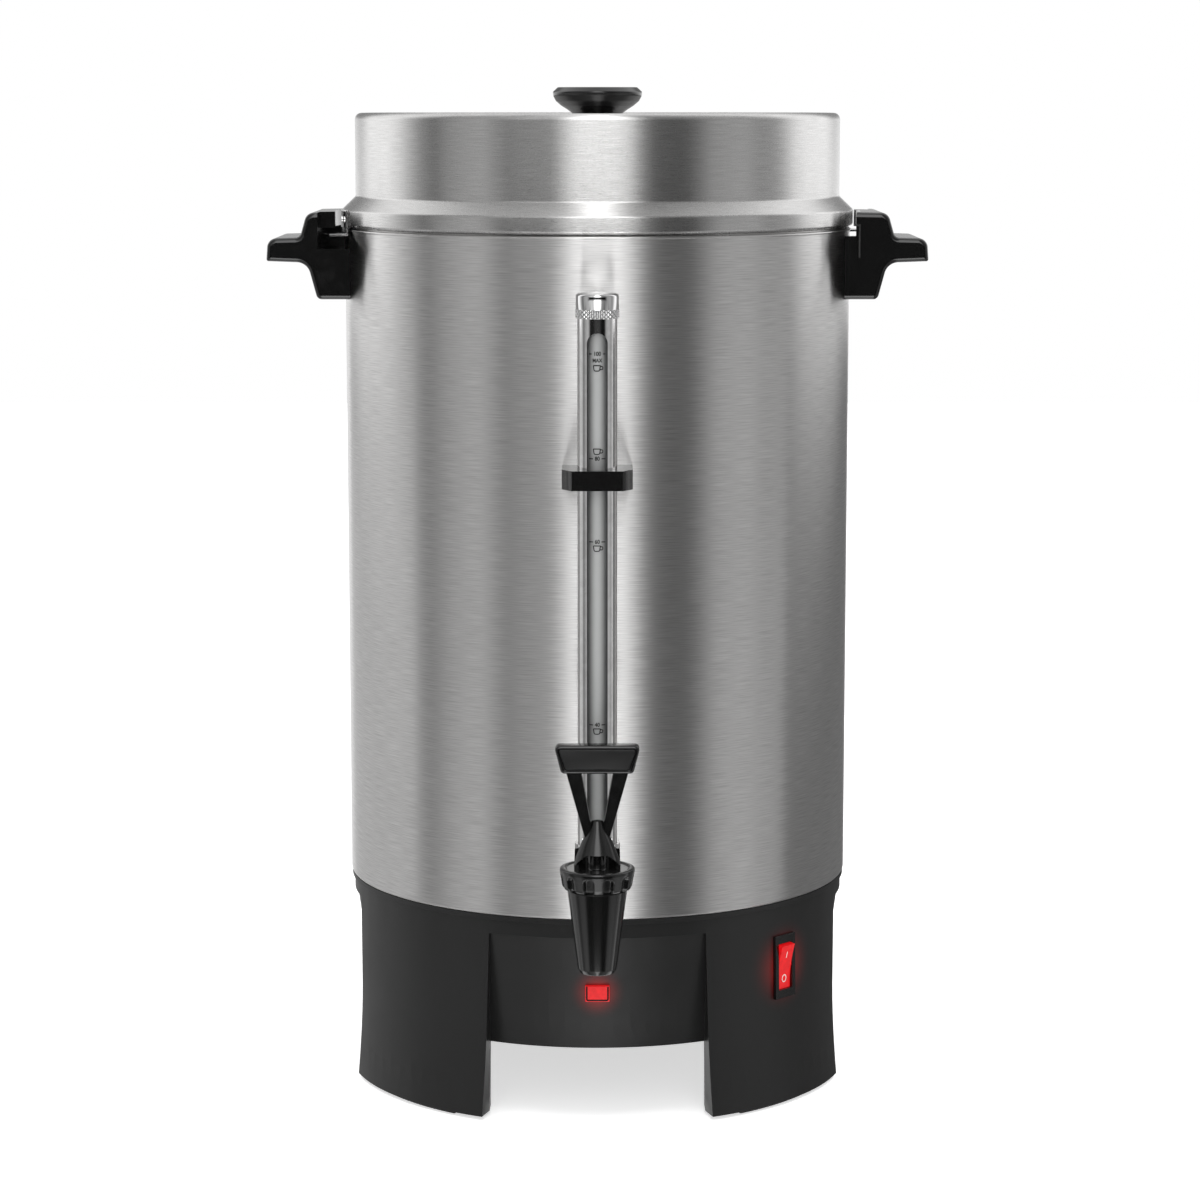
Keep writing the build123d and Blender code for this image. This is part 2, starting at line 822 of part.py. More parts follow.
with BuildPart() as lid_rivets:
    for side in (0, 180):
        for step in (-rivet_angle_step / 2, rivet_angle_step / 2):
            rivet_angle = side + tab_start_angle + tab_arc / 2 + step
            with BuildSketch(facing_plane(rivet_angle, rivet_start, rivet_z)):
                Circle(rivet_radius)
            extrude(amount=rivet_head)
save(lid_rivets, "lid_rivets")

knob_top = lid_panel_z + knob_height
rim_low = knob_top - knob_bevel - knob_edge_height
with BuildPart() as lid_knob:
    with BuildSketch(Plane.XZ):
        with BuildLine():
            Polyline((0, knob_top), (knob_top_radius, knob_top), (knob_radius, knob_top - knob_bevel))
            Line((knob_radius, knob_top - knob_bevel), (knob_radius, rim_low))
            Spline(
                (knob_radius, rim_low),
                (knob_neck_radius, lid_panel_z + knob_height / 2),
                (knob_foot_radius, lid_panel_z),
            )
            Polyline((knob_foot_radius, lid_panel_z), (0, lid_panel_z), (0, knob_top))
        make_face()
    revolve(axis=Axis.Z)
    with BuildSketch(Plane.XY.offset(lid_panel_z)):
        Circle(knob_screw_radius + fit_gap)
    extrude(amount=knob_screw_length, mode=Mode.SUBTRACT)
save(lid_knob, "lid_knob")

knob_screw_seat = lid_panel_z - lid_wall
with BuildPart() as lid_knob_screw:
    with BuildSketch(Plane.XY.offset(knob_screw_seat)):
        Circle(knob_screw_radius)
    extrude(amount=knob_screw_length)
    with BuildSketch(Plane.XY.offset(knob_screw_seat)):
        Circle(knob_screw_head)
    extrude(amount=-knob_screw_head_height)
save(lid_knob_screw, "lid_knob_screw")

# ======================= tap =======================
shank_start = -tap_y - tank_inner + shank_inside
shoulder_seat = tank_radius + washer_thickness + assembly_gap
with BuildPart() as faucet_body:
    with BuildSketch(Plane.XZ.offset(-tap_y)):
        with BuildLine():
            Polyline(
                (0, spout_tip_z),
                (spout_tip_radius - spout_tip_chamfer, spout_tip_z),
                (spout_tip_radius, spout_tip_z + spout_tip_chamfer),
                (spout_top_radius, collar_bottom - assembly_gap),
                (neck_radius, collar_bottom - assembly_gap),
                (neck_radius, collar_top - collar_rim),
                (0, collar_top - collar_rim),
                close=True,
            )
        make_face()
    revolve(axis=tap_axis)
    with BuildSketch(Plane.XZ.offset(-tap_y)):
        with Locations((0, shank_z)):
            Circle(shank_radius)
    extrude(amount=-shank_start)
    with BuildSketch(Plane.XZ.offset(shoulder_seat)):
        with Locations((0, shank_z)):
            Circle(shank_shoulder_radius)
    extrude(amount=shank_shoulder)
    with BuildSketch(Plane.XY.offset(shank_z)):
        with Locations((0, gauge_y)):
            Circle(gauge_spigot_radius + fit_gap)
    extrude(amount=shank_radius, mode=Mode.SUBTRACT)
    with BuildSketch(Plane.XZ.offset(-tap_y)):
        with Locations((0, shank_z)):
            Circle(shank_bore)
    extrude(amount=-shank_start, mode=Mode.SUBTRACT)
    with BuildSketch(Plane.XY.offset(seat_z)):
        with Locations((0, tap_y)):
            Circle(chamber_radius)
    extrude(amount=collar_top, mode=Mode.SUBTRACT)
    with BuildSketch(Plane.XY.offset(spout_tip_z)):
        with Locations((0, tap_y)):
            Circle(spout_bore)
    extrude(amount=seat_z - spout_tip_z, mode=Mode.SUBTRACT)
save(faucet_body, "faucet_body")

guide_z = collar_top - collar_rim
flute_ring = collar_radius + collar_flute_offset
arch_height = hood_floor - hood_sole
with BuildPart() as faucet_bonnet:
    with BuildSketch(Plane.XZ.offset(-tap_y)):
        with BuildLine():
            Polyline(
                (0, guide_z),
                (neck_radius + fit_gap, guide_z),
                (neck_radius + fit_gap, collar_bottom),
                (collar_radius - collar_edge, collar_bottom),
                (collar_radius, collar_bottom + collar_edge),
                (collar_radius, collar_top - collar_edge),
                (collar_radius - collar_edge, collar_top),
                (hood_bottom_radius, collar_top),
                (hood_top_radius, hood_top),
                (0, hood_top),
                close=True,
            )
        make_face()
    revolve(axis=tap_axis)
    with BuildSketch(Plane.XY.offset(collar_bottom)):
        with Locations((0, tap_y)):
            with PolarLocations(flute_ring, collar_flutes, start_angle=collar_flute_angle):
                Circle(collar_flute_radius)
    extrude(amount=collar_height - collar_rim, mode=Mode.SUBTRACT)
    # slot that the lever's feet stand in, and the arch below it
    with BuildSketch(Plane.XZ.offset(-tap_y - 2 * collar_radius)):
        with Locations((0, hood_floor_z + hood_height / 2)):
            Rectangle(hood_slot, hood_height)
        with Locations((0, hood_floor_z - arch_height / 2)):
            Rectangle(hood_arch, arch_height)
    extrude(amount=4 * collar_radius, mode=Mode.SUBTRACT)
    with BuildSketch(Plane.XY.offset(guide_z)):
        with Locations((0, tap_y)):
            Circle(stem_radius + assembly_gap)
    extrude(amount=hood_height, mode=Mode.SUBTRACT)
save(faucet_bonnet, "faucet_bonnet")

arm_foot_z = pin_z + lever_foot_half_depth
foot_joint_z = arm_foot_z + cut_margin
lever_rounding = (lever_elbow,) + 4 * (lever_corner,) + (lever_elbow,)
with BuildPart() as faucet_lever:
    with BuildSketch(Plane.XZ.offset(-tap_y - lever_thickness / 2)):
        with BuildLine():
            arms = FilletPolyline(
                (-lever_foot_width / 2, arm_foot_z),
                (-paddle_bottom_width / 2, paddle_bottom_z),
                (-paddle_width / 2, paddle_shoulder_z),
                (-paddle_top_width / 2, paddle_top_z),
                (paddle_top_width / 2, paddle_top_z),
                (paddle_width / 2, paddle_shoulder_z),
                (paddle_bottom_width / 2, paddle_bottom_z),
                (lever_foot_width / 2, arm_foot_z),
                radius=lever_rounding,
            )
            Line(arms @ 1, arms @ 0)
        make_face()
        with BuildLine():
            Polyline(
                (0, window_apex_z),
                (-paddle_bottom_width / 2 + arm_width, paddle_bottom_z),
                (paddle_bottom_width / 2 - arm_width, paddle_bottom_z),
                close=True,
            )
        make_face(mode=Mode.SUBTRACT)
    extrude(amount=lever_thickness)
    with BuildSketch(Plane.YZ.offset(-lever_foot_width / 2)):
        with Locations((tap_y, pin_z)):
            Circle(lever_foot_half_depth)
        with Locations((tap_y, (pin_z + foot_joint_z) / 2)):
            Rectangle(lever_thickness, foot_joint_z - pin_z)
    extrude(amount=lever_foot_width)
    with BuildSketch(Plane.XZ.offset(-tap_y - collar_radius)):
        with Locations((0, pin_z)):
            Rectangle(lever_gap, 2 * window_rise + cut_margin)
    extrude(amount=2 * collar_radius, mode=Mode.SUBTRACT)
    with BuildSketch(Plane.YZ.offset(-lever_foot_width)):
        with Locations((tap_y, pin_z)):
            Circle(pin_radius + pin_gap)
    extrude(amount=2 * lever_foot_width, mode=Mode.SUBTRACT)
save(faucet_lever, "faucet_lever")

pin_length = lever_foot_width
with BuildPart() as faucet_lever_pin:
    with BuildSketch(Plane.YZ.offset(-pin_length / 2)):
        with Locations((tap_y, pin_z)):
            Circle(pin_radius)
    extrude(amount=pin_length)
save(faucet_lever_pin, "faucet_lever_pin")

cup_bottom = seat_z + seat_gap
cup_top = cup_bottom + cup_height
with BuildPart() as faucet_stem:
    with BuildSketch(Plane.XY.offset(cup_bottom + cup_skirt)):
        with Locations((0, tap_y)):
            Circle(stem_radius)
    extrude(amount=pin_z - stem_head_depth - cup_bottom - cup_skirt + fit_gap)
    with BuildSketch(Plane.XY.offset(cup_top + fit_gap)):
        with Locations((0, tap_y)):
            Circle(cup_radius - stem_flange_inset)
    extrude(amount=cup_skirt)
    with BuildSketch(Plane.YZ.offset(-stem_head_thickness / 2)):
        with Locations((tap_y, pin_z)):
            Circle(stem_head_depth / 2)
        with Locations((tap_y, pin_z - stem_head_depth / 2)):
            Rectangle(stem_head_depth, stem_head_depth)
    extrude(amount=stem_head_thickness)
    with BuildSketch(Plane.YZ.offset(-stem_head_thickness)):
        with Locations((tap_y, pin_z)):
            Circle(pin_radius + fit_gap)
    extrude(amount=2 * stem_head_thickness, mode=Mode.SUBTRACT)
save(faucet_stem, "faucet_stem")

with BuildPart() as faucet_seat_cup:
    with BuildSketch(Plane.XZ.offset(-tap_y)):
        with BuildLine():
            Polyline(
                (stem_radius + fit_gap, cup_bottom + cup_skirt),
                (cup_radius - cup_lip_inset, cup_bottom),
                (cup_radius, cup_bottom + cup_skirt),
                (cup_radius, cup_top - cup_skirt),
                (cup_radius - cup_shoulder_inset, cup_top),
                (stem_radius + fit_gap, cup_top),
                close=True,
            )
        make_face()
    revolve(axis=tap_axis)
save(faucet_seat_cup, "faucet_seat_cup")

spring_bottom = cup_top + cup_skirt + spring_wire + fit_gap
spring_height = guide_z - spring_bottom - spring_wire - fit_gap
with BuildPart() as faucet_spring:
    with BuildLine(Plane((0, tap_y, spring_bottom))) as coil:
        Helix(pitch=spring_height / spring_turns, height=spring_height, radius=spring_radius)
    with BuildSketch(Plane(coil.line @ 0, z_dir=coil.line % 0)):
        Circle(spring_wire)
    sweep(is_frenet=True)
save(faucet_spring, "faucet_spring")

inner_washer_start = tank_inner - washer_trim - washer_thickness
outer_washer_start = tank_radius - washer_trim
nut_start = inner_washer_start - fit_gap - shank_nut_thickness
with BuildPart() as shank_nut:
    with BuildSketch(Plane.XZ.offset(nut_start)):
        with Locations((0, shank_z)):
            RegularPolygon(shank_nut_size / 2, 6, major_radius=False)
            Circle(shank_radius + fit_gap, mode=Mode.SUBTRACT)
    extrude(amount=shank_nut_thickness)
save(shank_nut, "shank_nut")

with BuildPart() as shank_washers:
    for start, end in (
        (inner_washer_start, tank_inner),
        (outer_washer_start, shoulder_seat),
    ):
        with BuildSketch(Plane.XZ.offset(start)):
            with Locations((0, shank_z)):
                Circle(washer_radius)
                Circle(shank_radius + fit_gap, mode=Mode.SUBTRACT)
        extrude(amount=end - start)
    # both washers follow the tank's curved wall
    with BuildSketch(Plane.XY.offset(shank_z - washer_radius)):
        Circle(tank_radius + fit_gap)
        Circle(tank_inner - fit_gap, mode=Mode.SUBTRACT)
    extrude(amount=2 * washer_radius, mode=Mode.SUBTRACT)
save(shank_washers, "shank_washers")

# ======================= sight gauge =======================
glass_bottom = shank_top + glass_lift
spigot_bottom = shank_top - gauge_spigot_depth
with BuildPart() as gauge_socket:
    with BuildSketch(Plane.XZ.offset(-gauge_y)):
        with BuildLine():
            Polyline(
                (gauge_passage, spigot_bottom),
                (gauge_spigot_radius, spigot_bottom),
                (gauge_spigot_radius, shank_top + fit_gap),
                (gauge_socket_radius, shank_top + fit_gap),
                (gauge_socket_radius, gauge_socket_top),
                (glass_radius + fit_gap, gauge_socket_top),
                (glass_radius + fit_gap, glass_bottom - seal_height),
                (gauge_passage, glass_bottom - seal_height),
                close=True,
            )
        make_face()
    revolve(axis=gauge_axis)
save(gauge_socket, "gauge_socket")

with BuildPart() as gauge_nut:
    with BuildSketch(Plane.XY.offset(gauge_socket_top + fit_gap)):
        with Locations((0, gauge_y)):
            Circle(gauge_nut_radius)
            Circle(guard_radius + fit_gap, mode=Mode.SUBTRACT)
            with PolarLocations(gauge_nut_radius + gauge_groove_offset, gauge_nut_grooves):
                Circle(gauge_groove_radius, mode=Mode.SUBTRACT)
    extrude(amount=gauge_nut_height)
save(gauge_nut, "gauge_nut")

with BuildPart() as gauge_bottom_seal:
    with BuildSketch(Plane.XY.offset(glass_bottom - seal_height)):
        with Locations((0, gauge_y)):
            Circle(glass_radius - fit_gap)
            Circle(gauge_passage, mode=Mode.SUBTRACT)
    extrude(amount=seal_height - fit_gap)
save(gauge_bottom_seal, "gauge_bottom_seal")

with BuildPart() as gauge_glass:
    with BuildSketch(Plane.XY.offset(glass_bottom)):
        with Locations((0, gauge_y)):
            Circle(glass_radius)
            Circle(glass_radius - glass_wall, mode=Mode.SUBTRACT)
    extrude(amount=glass_top - glass_bottom)
save(gauge_glass, "gauge_glass")

slot_bottom = gauge_socket_top + fit_gap
with BuildPart() as gauge_guard:
    with BuildSketch(Plane.XY.offset(slot_bottom)):
        with Locations((0, gauge_y)):
            Circle(guard_radius)
            Circle(guard_radius - guard_wall, mode=Mode.SUBTRACT)
    extrude(amount=guard_top - slot_bottom)
    with BuildSketch(Plane.XZ.offset(-gauge_y)):
        with Locations((0, (slot_bottom + guard_slot_top - guard_slot / 2) / 2)):
            Rectangle(guard_slot, guard_slot_top - guard_slot / 2 - slot_bottom)
        with Locations((0, guard_slot_top - guard_slot / 2)):
            Circle(guard_slot / 2)
    extrude(amount=2 * guard_radius, mode=Mode.SUBTRACT)
save(gauge_guard, "gauge_guard")

with BuildPart() as gauge_top_seal:
    with BuildSketch(Plane.XY.offset(glass_top - seal_height)):
        with Locations((0, gauge_y)):
            Circle(guard_radius - guard_wall - fit_gap)
            Circle(glass_radius + fit_gap, mode=Mode.SUBTRACT)
    extrude(amount=seal_height)
save(gauge_top_seal, "gauge_top_seal")

cap_waist_radius = cap_radius - cap_waist
cap_rim_radius = cap_waist_radius - cap_bevel
cap_rim_z = cap_top - cap_bevel
knurl_top = cap_bottom + cap_knurl_height
with BuildPart() as gauge_cap:
    with BuildSketch(Plane.XZ.offset(-gauge_y)):
        with BuildLine():
            Line((0, guard_top + fit_gap), (0, cap_top))
            ThreePointArc(
                (0, cap_top),
                (cap_rim_radius / 2, cap_top - cap_dome),
                (cap_rim_radius, cap_rim_z),
            )
            Polyline(
                (cap_rim_radius, cap_rim_z),
                (cap_waist_radius, cap_rim_z - cap_bevel),
                (cap_waist_radius, knurl_top),
                (cap_radius, knurl_top),
                (cap_radius, cap_bottom),
                (guard_radius + fit_gap, cap_bottom),
                (guard_radius + fit_gap, guard_top + fit_gap),
                (0, guard_top + fit_gap),
            )
        make_face()
    revolve(axis=gauge_axis)
    with BuildSketch(Plane.XY.offset(cap_bottom)):
        with Locations((0, gauge_y)):
            with PolarLocations(cap_radius + cap_knurl_offset, cap_knurl_count):
                Circle(cap_knurl_radius)
    extrude(amount=cap_knurl_height, mode=Mode.SUBTRACT)
save(gauge_cap, "gauge_cap")

clip_front_y = gauge_y - clip_front
guard_stand = -gauge_y - tank_radius - guard_radius
with BuildPart() as gauge_clip:
    with BuildSketch(Plane.XY.offset(clip_bottom)):
        with BuildLine():
            Polyline(
                (-clip_wing_width / 2, -tank_inner),
                (-clip_wing_width / 2, clip_front_y + clip_chamfer),
                (-clip_front_width / 2, clip_front_y),
                (clip_front_width / 2, clip_front_y),
                (clip_wing_width / 2, clip_front_y + clip_chamfer),
                (clip_wing_width / 2, -tank_inner),
                close=True,
            )
        make_face()
        Circle(tank_radius + fit_gap, mode=Mode.SUBTRACT)
        with Locations((0, gauge_y)):
            Circle(guard_radius + fit_gap, mode=Mode.SUBTRACT)
    extrude(amount=clip_height)
    with BuildSketch(Plane.XZ.offset(tank_radius)):
        with Locations((0, clip_screw_z)):
            Circle(small_screw_radius + fit_gap)
    extrude(amount=guard_stand - clip_web, mode=Mode.SUBTRACT)
save(gauge_clip, "gauge_clip")

with BuildPart() as gauge_clip_screw:
    with BuildSketch(Plane.XZ.offset(tank_inner - seat_gap)):
        with Locations((0, clip_screw_z)):
            Circle(small_screw_radius)
    extrude(amount=clip_screw_length)
    with BuildSketch(Plane.XZ.offset(tank_inner - seat_gap)):
        with Locations((0, clip_screw_z)):
            Circle(small_screw_head)
    extrude(amount=-small_screw_head_height)
save(gauge_clip_screw, "gauge_clip_screw")

# ======================= switch =======================
trunnion_half = rocker_width / 2 + swing_gap + trunnion_reach
rocker_side = Plane(
    origin=switch_plane.origin - switch_plane.z_dir * rocker_pivot_depth,
    x_dir=switch_plane.z_dir,
    z_dir=switch_plane.x_dir,
)
with BuildPart() as switch_body:
    with BuildSketch(switch_plane):
        Rectangle(bezel_width, bezel_height)
    extrude(amount=-bezel_thickness)
    with BuildSketch(switch_plane.offset(-bezel_thickness)):
        Rectangle(switch_body_width, switch_body_height)
    extrude(amount=-switch_body_depth)
    with BuildSketch(switch_plane):
        Rectangle(rocker_width + 2 * swing_gap, rocker_height + 2 * swing_gap)
    extrude(amount=-rocker_well, mode=Mode.SUBTRACT)
    with BuildSketch(rocker_side.offset(-trunnion_half - swing_gap)):
        Circle(trunnion_radius + pin_gap)
    extrude(amount=2 * (trunnion_half + swing_gap), mode=Mode.SUBTRACT)
save(switch_body, "switch_body")

with BuildPart() as switch_rocker:
    with BuildSketch(rocker_side.offset(-rocker_width / 2)):
        with BuildLine():
            Line((-rocker_depth / 2, -rocker_height / 2), (rocker_depth / 2, -rocker_height / 2))
            ThreePointArc(
                (rocker_depth / 2, -rocker_height / 2),
                (rocker_depth / 2 - rocker_dish, 0),
                (rocker_depth / 2, rocker_height / 2),
            )
            Line((rocker_depth / 2, rocker_height / 2), (-rocker_depth / 2, rocker_height / 2))
            Line((-rocker_depth / 2, rocker_height / 2), (-rocker_depth / 2, -rocker_height / 2))
        make_face()
    extrude(amount=rocker_width)
    with BuildSketch(rocker_side.offset(-trunnion_half)):
        Circle(trunnion_radius)
    extrude(amount=2 * trunnion_half)
pivot_axis = Axis(rocker_side.origin, rocker_side.z_dir)
rocker_tilted = switch_rocker.part.rotate(pivot_axis, rocker_rest_tilt)
rocker_tilted.label = "switch_rocker"
export_step(rocker_tilted, "parts/switch_rocker.step")

with BuildPart() as switch_terminals:
    with BuildSketch(switch_plane.offset(-bezel_thickness - switch_body_depth)):
        with GridLocations(0, terminal_pitch, 1, 3):
            Rectangle(terminal_blade, terminal_thickness)
    extrude(amount=-terminal_length)
save(switch_terminals, "switch_terminals")

# ======================= indicator =======================
with BuildPart() as indicator_lens:
    with BuildSketch(indicator_plane.offset(lens_proud)):
        Rectangle(lens_width, lens_height)
    extrude(amount=-lens_depth)
    with BuildSketch(indicator_plane.offset(lens_proud - lens_depth)):
        Circle(lamp_radius + fit_gap)
    extrude(amount=lamp_socket, mode=Mode.SUBTRACT)
save(indicator_lens, "indicator_lens")

lamp_tip = lens_proud - lens_depth + lamp_socket - assembly_gap
with BuildPart() as indicator_lamp:
    with BuildSketch(indicator_plane.offset(lamp_tip - lamp_length)):
        Circle(lamp_radius)
    extrude(amount=lamp_length)
save(indicator_lamp, "indicator_lamp")

# ======================= cord inlet =======================
with BuildPart() as cord_gland:
    with BuildSketch(gland_plane.offset(seat_gap)):
        Circle(gland_flange_radius)
        Circle(gland_bore, mode=Mode.SUBTRACT)
    extrude(amount=gland_flange)
    with BuildSketch(gland_plane.offset(seat_gap)):
        Circle(gland_radius)
        Circle(gland_bore, mode=Mode.SUBTRACT)
    extrude(amount=-gland_length)
save(cord_gland, "cord_gland")

# ======================= heating =======================
with BuildPart() as brew_heater:
    with BuildSketch(Plane.XY.offset(tank_bottom)):
        Circle(brew_heater_radius)
    extrude(amount=-brew_heater_height)
    fillet(brew_heater.edges().sort_by(Axis.Z)[0], radius=brew_heater_edge)
save(brew_heater, "brew_heater")

with BuildPart() as keep_warm_heater:
    with BuildSketch(Plane.XZ):
        with Locations((ring_heater_radius, tank_bottom - ring_heater_tube - fit_gap)):
            Circle(ring_heater_tube)
    revolve(axis=Axis.Z, revolution_arc=360 - ring_heater_gap_angle)
save(keep_warm_heater, "keep_warm_heater")

with BuildPart() as thermostat:
    with BuildSketch(Plane.XY.offset(tank_bottom)):
        with Locations((-thermostat_x, 0)):
            Circle(thermostat_radius)
    extrude(amount=-thermostat_height)
    with BuildSketch(Plane.XY.offset(tank_bottom - thermostat_height)):
        with Locations((-thermostat_x, 0)):
            with GridLocations(terminal_pitch, 0, 2, 1):
                Rectangle(terminal_thickness, terminal_blade)
    extrude(amount=-terminal_length)
save(thermostat, "thermostat")

with BuildPart() as thermal_fuse:
    with BuildSketch(Plane.YZ.offset(-fuse_length / 2)):
        with Locations((fuse_y, tank_bottom - fuse_radius)):
            Circle(fuse_radius)
    extrude(amount=fuse_length)
save(thermal_fuse, "thermal_fuse")

block_top = cover_top + block_height
with BuildPart() as terminal_block:
    with BuildSketch(Plane.XY.offset(cover_top)):
        with Locations((0, block_y)):
            Rectangle(block_length, block_width)
    extrude(amount=block_height)
    with BuildSketch(Plane.XY.offset(block_top)):
        with Locations((0, block_y)):
            with GridLocations(block_pole_pitch, 0, 3, 1):
                Circle(block_hole_radius)
    extrude(amount=-block_hole_depth, mode=Mode.SUBTRACT)
save(terminal_block, "terminal_block")


def wire(points, bend):
    """One insulated wire along straight runs with rounded corners."""
    with BuildPart() as run:
        with BuildLine() as path:
            FilletPolyline(*points, radius=bend)
        with BuildSketch(Plane(path.line @ 0, z_dir=path.line % 0)):
            Circle(wire_radius)
        sweep()
    return run.part


fuse_end = fuse_length / 2 + assembly_gap
fuse_z = tank_bottom - fuse_radius
fuse_wire_x = fuse_end + wire_rise
switch_back = switch_plane.origin - switch_plane.z_dir * (
    bezel_thickness + switch_body_depth + terminal_length + assembly_gap
)
wire_start = block_top + assembly_gap
wire_level = block_top + wire_rise
thermostat_pole_x = -thermostat_x - terminal_pitch / 2
thermostat_pole_z = tank_bottom - thermostat_height - terminal_length - assembly_gap
with BuildPart() as wiring_harness:
    add(
        wire(
            [
                (0, block_y, wire_start),
                (0, block_y, wire_level),
                (switch_back.X - wire_spread, switch_back.Y + wire_spread, wire_level),
                tuple(switch_back),
            ],
            wire_bend,
        )
    )
    add(
        wire(
            [
                (-block_pole_pitch, block_y, wire_start),
                (-block_pole_pitch, block_y, wire_level),
                (thermostat_pole_x, 2 * wire_spread, wire_level),
                (thermostat_pole_x, 0, wire_level),
                (thermostat_pole_x, 0, thermostat_pole_z),
            ],
            wire_bend,
        )
    )
    add(
        wire(
            [
                (block_pole_pitch, block_y, wire_start),
                (block_pole_pitch, block_y, wire_level + wire_spread),
                (fuse_wire_x, fuse_y, wire_level + 2 * wire_spread),
                (fuse_wire_x, fuse_y, fuse_z),
                (fuse_end, fuse_y, fuse_z),
            ],
            fuse_wire_bend,
        )
    )
save(wiring_harness, "wiring_harness")

# ======================= percolator =======================
pump_bottom = tank_floor_top + seat_gap
pump_top = pump_bottom + pump_base_height
pump_skirt_z = pump_bottom + pump_skirt_height
pump_collar_radius = pump_tube_radius + pump_collar_width
pump_skirt_inner = pump_base_radius - pump_base_wall
with BuildPart() as pump_base:
    with BuildSketch(Plane.XZ):
        with BuildLine():
            Polyline(
                (pump_skirt_inner, pump_bottom),
                (pump_base_radius, pump_bottom),
                (pump_base_radius, pump_skirt_z),
                (pump_collar_radius, pump_top),
                (pump_tube_radius, pump_top),
                (pump_tube_radius, pump_top - pump_base_wall),
                (pump_collar_radius, pump_top - pump_base_wall - pump_cone_drop),
                (pump_skirt_inner, pump_skirt_z - pump_cone_drop),
                close=True,
            )
        make_face()
    revolve(axis=Axis.Z)
    with BuildSketch(Plane.XY.offset(pump_bottom)):
        with PolarLocations(pump_port_ring, pump_ports):
            Circle(pump_port_radius)
    extrude(amount=pump_base_height, mode=Mode.SUBTRACT)
save(pump_base, "pump_base")

tube_foot = valve_seat_z + valve_disc_thickness + valve_travel + 2 * assembly_gap
tube_outer = pump_tube_radius - fit_gap
tube_bore = pump_tube_radius - pump_tube_wall
cage_radius = valve_disc_radius + cage_margin
stop_top = basket_bottom - fit_gap
with BuildPart() as pump_stem:
    with BuildSketch(Plane.XZ):
        with BuildLine():
            Polyline(
                (tube_bore, tube_foot),
                (cage_radius, tube_foot),
                (cage_radius, tube_foot + cage_flange),
                (tube_outer, tube_foot + cage_flange),
                (tube_outer, stop_top - basket_stop_height),
                (basket_stop_radius, stop_top - basket_stop_height),
                (basket_stop_radius, stop_top),
                (tube_outer, stop_top),
                (tube_outer, pump_tube_top),
                (tube_bore, pump_tube_top),
                close=True,
            )
        make_face()
    revolve(axis=Axis.Z)
    # cage below the tube that carries the valve disc's seat
    with BuildSketch(Plane.XY.offset(valve_seat_z - valve_seat_ring)):
        Circle(cage_radius)
        Circle(valve_disc_radius - valve_seat_land, mode=Mode.SUBTRACT)
    extrude(amount=valve_seat_ring)
    with BuildSketch(Plane.XY.offset(valve_seat_z - valve_seat_ring / 2)):
        with PolarLocations(cage_radius - cage_post_inset, cage_posts):
            Circle(cage_post_radius)
    extrude(amount=tube_foot - valve_seat_z + cage_flange)
save(pump_stem, "pump_stem")

with BuildPart() as pump_valve_disc:
    with BuildSketch(Plane.XY.offset(valve_seat_z + seat_gap)):
        Circle(valve_disc_radius - assembly_gap)
    extrude(amount=valve_disc_thickness)
save(pump_valve_disc, "pump_valve_disc")

sleeve_radius = pump_tube_radius + assembly_gap
with BuildPart() as coffee_basket:
    with BuildSketch(Plane.XZ):
        with Locations((basket_radius - basket_wall / 2, basket_bottom + basket_depth / 2)):
            Rectangle(basket_wall, basket_depth)
        with Locations(((sleeve_radius + basket_radius) / 2, basket_bottom + basket_wall / 2)):
            Rectangle(basket_radius - sleeve_radius, basket_wall)
        with Locations((sleeve_radius + basket_wall / 2, basket_bottom + basket_depth / 2)):
            Rectangle(basket_wall, basket_depth)
    revolve(axis=Axis.Z)
    with BuildSketch(Plane.XY.offset(basket_bottom)):
        for ring in basket_hole_rings:
            with PolarLocations(ring, basket_holes):
                Circle(basket_hole_radius)
    extrude(amount=basket_wall, mode=Mode.SUBTRACT)
save(coffee_basket, "coffee_basket")

lid_plate_z = basket_top + fit_gap
lid_plate_top = lid_plate_z + basket_wall
spreader_inner = basket_radius + spreader_lap
spreader_outer = spreader_inner + basket_wall
with BuildPart() as basket_lid:
    with BuildSketch(Plane.XZ):
        with BuildLine():
            Polyline(
                (sleeve_radius, lid_plate_z),
                (spreader_outer, lid_plate_z),
                (spreader_outer, lid_plate_top + spreader_height),
                (spreader_inner, lid_plate_top + spreader_height),
                (spreader_inner, lid_plate_top),
                (sleeve_radius, lid_plate_top),
                close=True,
            )
        make_face()
    revolve(axis=Axis.Z)
    with BuildSketch(Plane.XY.offset(basket_top)):
        for ring in basket_hole_rings:
            with PolarLocations(ring, basket_holes):
                Circle(basket_hole_radius)
    extrude(amount=2 * basket_wall, mode=Mode.SUBTRACT)
save(basket_lid, "basket_lid")
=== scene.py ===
"""Coffee urn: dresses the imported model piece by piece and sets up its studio."""

import logging
import math
from dataclasses import dataclass
from enum import Enum
from typing import Sequence

import bmesh
import bpy
from mathutils import Matrix, Vector
from mathutils.bvhtree import BVHTree


